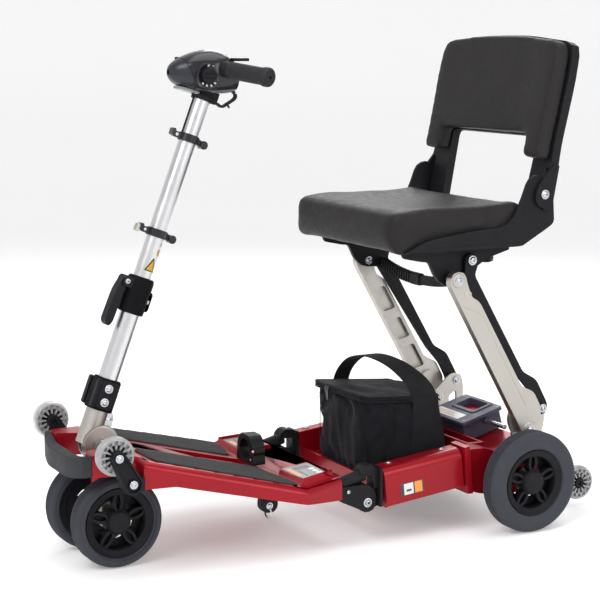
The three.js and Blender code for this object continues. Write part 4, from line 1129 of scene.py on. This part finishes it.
def on_link(x, down, across):
    return LINK_TOP + X_AXIS * x + LINK_DOWN * down + LINK_ACROSS * across


def draw_link_details(bm):
    lathe(bm, [(7, 190.2), (11.5, 190.2), (13.4, 189.6), (14.4, 188.2), (14.6, 186)], LINK_TOP, X_AXIS, 40)
    lathe(bm, [(0, 189.2), (6.8, 189.2), (8, 188.6), (8.4, 186)], on_link(0, 36, 5), X_AXIS, 36)
    line = [on_link(188.1, d, a) for d, a in ((50, -15), (55, -12), (80, 8), (92, 13.5), (310, 13.5))]
    sweep(bm, line, [(-0.7, -0.4), (0.7, -0.4), (0.4, 0.4), (-0.4, 0.4)], up=X_AXIS)
    lathe(bm, [(7, 190), (13, 190), (15.6, 189.2), (16.4, 187.4), (16.4, 186)], (0, *LIFT_FOOT), X_AXIS, 40)


def make_links():
    side_pieces("link_mouldings", draw_link_details, SILVER, ["lift_links"] * 2)
    bolts = [((191, *LIFT_HEAD), X_AXIS, 6.2, 3.2), ((171, *GUIDE_HEAD), X_AXIS, 7, 3.4),
             ((213.4, *BACK_PIVOT), X_AXIS, 6.8, 3.4), ((150, *LIFT_HEAD), -X_AXIS, 6.2, 3.2),
             ((150, *GUIDE_HEAD), -X_AXIS, 6.2, 3.2)]
    fasteners("seat_bolts", "seat", bolts, mirrored=True)

    def lobed(a, k):
        return 1 + (0.08 * math.cos(5 * a) if 0 < k < 6 else 0)

    bm = bmesh.new()
    knob = [(0, 522), (13.6, 522), (16, 523.6), (16.9, 529), (16.2, 536), (13, 540.6), (6.4, 542.4),
            (5, 559.5), (0, 559.5)]
    lathe(bm, knob, (120, 300, 0), Z_AXIS, 60, shape=lobed)
    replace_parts(piece("seat_knob_lobed", bm, BLACK_PLASTIC, "knob"), "seat_knob")
    make_strap()


def strap_line(x):
    return Vector((x, 225, 476 + 20 * (abs(x) / 149.6) ** 2.2))


def make_strap():
    bm = bmesh.new()
    steps = [(-149.4, -140, 9, 2.2), (-142, -22, 9.5, 4.6), (-24, 6, 12, 6.5), (2, 149.4, 10, 4.4)]
    for x0, x1, tall, thick in steps:
        line = [strap_line(x0 + (x1 - x0) * k / 16) for k in range(17)]
        sweep(bm, line, frame_outline(-thick, thick, -tall, tall, 2, 3), up=Z_AXIS)
    rib = frame_outline(-6.6, 6.6, -11.5, 11.5, 2, 3)
    for k in range(13):
        x = -138 + k * 9.2
        sweep(bm, [strap_line(x), strap_line(x + 4.2)], rib, up=Z_AXIS)
    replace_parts(piece("carry_strap_ribbed", bm, BLACK_PLASTIC, "seat"), "carry_strap")


# ---------------------------------------------------------------- soft parts
def evaluated(obj):
    """The mesh of an object with its modifiers applied; the object is then removed."""
    mesh = bpy.data.meshes.new_from_object(obj.evaluated_get(bpy.context.evaluated_depsgraph_get()))
    bpy.data.objects.remove(obj)
    return mesh


def remeshed(mesh, voxel, smooth):
    """An even mesh over a rough one, with its edges smoothed round. Sizes are in metres."""
    obj = added("soft_form", mesh)
    remesh = obj.modifiers.new("remesh", "REMESH")
    remesh.mode = "VOXEL"
    remesh.voxel_size = voxel
    soft = obj.modifiers.new("smooth", "SMOOTH")
    soft.factor = 0.5
    soft.iterations = smooth
    return evaluated(obj)


def settled(mesh, pressure, shrink, limit, pinned=None, stiffness=15):
    """Lets a mesh settle as pressurised cloth for 20 frames; no vertex moves more than limit metres."""
    rest = [v.co.copy() for v in mesh.vertices]
    obj = added("soft_form", mesh)
    cloth = obj.modifiers.new("cloth", "CLOTH")
    cloth.settings.quality = 4
    cloth.settings.mass = 0.3
    cloth.settings.tension_stiffness = stiffness
    cloth.settings.compression_stiffness = stiffness
    cloth.settings.bending_stiffness = 0.4
    cloth.settings.use_pressure = True
    cloth.settings.uniform_pressure_force = pressure
    cloth.settings.shrink_min = shrink
    cloth.settings.effector_weights.gravity = 0
    cloth.collision_settings.use_collision = False
    cloth.collision_settings.use_self_collision = False
    cloth.point_cache.frame_start = 1
    cloth.point_cache.frame_end = 20
    if pinned:
        group = obj.vertex_groups.new(name="pinned")
        group.add([v.index for v in mesh.vertices if pinned(v.co / MM)], 1.0, "REPLACE")
        cloth.settings.vertex_group_mass = "pinned"
    for number in range(1, 21):
        scene.frame_set(number)
    result = evaluated(obj)
    scene.frame_set(1)
    for vert, start in zip(result.vertices, rest):
        move = vert.co - start
        if move.length > limit:
            vert.co = start + move * (limit / move.length)
    return result


def subdivided(mesh):
    obj = added("soft_form", mesh)
    obj.modifiers.new("subdivide", "SUBSURF").levels = 1
    return evaluated(obj)


def shaped(mesh, change):
    """Moves each vertex by change(position in millimetres, normal)."""
    normals = [v.normal.copy() for v in mesh.vertices]
    for vert, normal in zip(mesh.vertices, normals):
        vert.co += change(vert.co / MM, normal) * MM
    return mesh


def smoothstep(low, high, value):
    t = min(1, max(0, (value - low) / (high - low)))
    return t * t * (3 - 2 * t)


def make_cushions():
    def seat_dish(p, n):
        top = smoothstep(0.3, 0.8, n.z)
        dish = -6.5 * math.exp(-((p.x / 150) ** 4)) * math.exp(-(((p.y - 215) / 105) ** 4))
        rim = 3.0 * smoothstep(140, 195, abs(p.x)) * smoothstep(60, 130, p.y)
        puckers = 0.7 * noise.noise(Vector((p.x / 60, p.y / 60, p.z / 40)))
        skirt = (1 - smoothstep(566, 600, p.z)) * (1 - smoothstep(80, 120, p.y))
        return Vector((4 * skirt * n.x, 3 * skirt * n.y, top * (dish + rim) - 3 * skirt)) + n * puckers

    def back_dish(p, n):
        front = smoothstep(0.3, 0.8, -n.y)
        dish = 5.0 * math.exp(-((p.x / 150) ** 4)) * smoothstep(770, 850, p.z)
        return Vector((0, front * dish, 0)) + n * 0.6 * noise.noise(Vector((p.x / 70, p.y / 50, p.z / 70)))

    for node, change, rounds in (("seat_cushion", seat_dish, 14), ("back_pad", back_dish, 6)):
        mesh = shaped(remeshed(NODES[node].data.copy(), 0.005, rounds), change)
        mesh = subdivided(remeshed(settled(mesh, 4.0, 0.0, 0.0015), 0.005, 6))
        cushion = place(node + "_soft", mesh, VINYL, "seat" if node == "seat_cushion" else "back", 80, False)
        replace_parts(cushion, node)


BAG_FRONT = 42


def bag_top(y):
    return 267 - (y - BAG_FRONT) * 13 / 168


def make_bag():
    def folds(p, n):
        side = 1 - smoothstep(0.5, 0.9, abs(n.z))
        rise = smoothstep(110, 135, p.z) * (1 - smoothstep(bag_top(p.y) - 26, bag_top(p.y) - 8, p.z))
        coarse = noise.noise(Vector((p.x / 44, p.y / 40, p.z / 90)))
        fine = noise.noise(Vector((p.x / 17 + 4, p.y / 15, p.z / 42 + p.y / 60)))
        crease = 1 - abs(noise.noise(Vector((p.x / 30 + 9, p.y / 26 + p.z / 60, p.z / 70)))) * 2
        return n * side * rise * (4.2 * coarse + 1.5 * fine + 1.4 * crease - 0.8)

    def pinned(p):
        return p.z < 114 or p.z > bag_top(p.y) - 10

    mesh = shaped(remeshed(NODES["storage_bag"].data.copy(), 0.005, 4), folds)
    mesh = subdivided(settled(mesh, 1.2, -0.05, 0.006, pinned, 6))
    bag = place("bag_body", mesh, NYLON, "rear_frame", 80, False)
    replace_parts(bag, "storage_bag")

    bm = bmesh.new()
    slope = Vector((0, 168, -13)).normalized()
    origin = Vector((0, BAG_FRONT, 267))
    plate_on(bm, frame_outline(-99, 99, -7, 173, 15), origin, X_AXIS, slope, -8, 2, 2.5, 3)

    def wave(p):
        return 5.0 * noise.noise(Vector((p.x / 60, p.y / 50, 2)))

    def wavy(p, n):
        return Vector((0, 0, wave(p) + (3.5 - 3.5 * (p.x / 99) ** 2) * smoothstep(0.2, 0.8, n.z)))

    lid = subdivided(shaped(remeshed(as_mesh("lid_form", bm), 0.004, 3), wavy))
    place("bag_lid", lid, NYLON, "rear_frame", 80, False)

    def rim(inset, drop):
        line = frame_outline(-99 - inset, 99 + inset, -7 - inset, 173 + inset, 15)
        points = []
        for u, v in line:
            p = origin + X_AXIS * u + slope * v
            p.z += drop + wave(p)
            points.append(p)
        return points

    bm = bmesh.new()
    sweep(bm, rim(0.3, 1.2), disc(1.7, 8), closed=True)
    sweep(bm, rim(0.3, -8.2), disc(1.5, 8), closed=True)
    piece("bag_piping", bm, WEBBING, "rear_frame", 60)
    bm = bmesh.new()
    sweep(bm, rim(0.2, -3.6), box(1.0, 1.6), closed=True, up=Z_AXIS)
    for corner in ((-91, 46), (91, 46), (95.2, 112)):
        foot = Vector((*corner, 112))
        sweep(bm, [foot, Vector((foot.x, foot.y, bag_top(foot.y) - 8))], disc(0.9, 8))
    piece("bag_zip", bm, NYLON, "rear_frame", 60)
    bm = bmesh.new()
    for x, tilt in ((-42, -4), (-33, 5)):
        plate_on(bm, rounded([(-3.4, -25, 2), (3.4, -25, 2), (2.4, 0, 1), (-2.4, 0, 1)]),
                 (x, 31.5, 264), (1, 0, 0), (tilt / 22, -0.12, 1), -1.3, 1.3, 0.5)
        lathe(bm, [(0, -2), (3.4, -2), (4, -1), (4, 1), (3.4, 2), (0, 2)], (x, 33, 264), Y_AXIS, 16)
    piece("bag_zip_pulls", bm, GREY_CAP, "rear_frame", 50)
    make_bag_handle()


def make_bag_handle():
    line = [  # x, y, z, width
        (97.6, 190, 112, 90), (99.5, 186, 170, 76), (99.5, 181, 225, 62), (99, 176, 258, 56),
        (86, 160, 291, 48), (54, 136, 319, 42), (10, 114, 331, 40), (-36, 102, 322, 38), (-72, 98, 298, 36),
        (-96, 98, 266, 36), (-99.4, 98, 225, 36), (-99, 98, 170, 36), (-97.6, 98, 112, 36)]
    path = smooth_path([Vector(p[:3]) for p in line], 10)
    widths = smooth_path([Vector((p[3], 0, 0)) for p in line], 10)
    last = len(path) - 1

    def section(t):
        return box(1.3, widths[round(t * last)].x / 2)

    bm = bmesh.new()
    sweep(bm, path, section, up=Y_AXIS)
    bevel_sharp(bm, 0.7, 2, 50)
    handle = piece("bag_handle", bm, WEBBING, "rear_frame", 60)
    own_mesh(handle)


set_stage()
for nodes, material, radius, segments in SOFTENED:
    for node in nodes.split():
        soften(node, material, [(None, radius, segments)])
soften("handlebar", BLACK_METAL, [])
make_wheels()
make_deck()
make_rear_frame()
make_tiller()
make_head()
make_links()
make_cushions()
make_bag()

for node in ("transaxle", "drive_motor", "controller_box", "floor_tray"):
    NODES[node].data.materials.clear()
    NODES[node].data.materials.append(RED if node == "floor_tray" else BLACK_METAL)
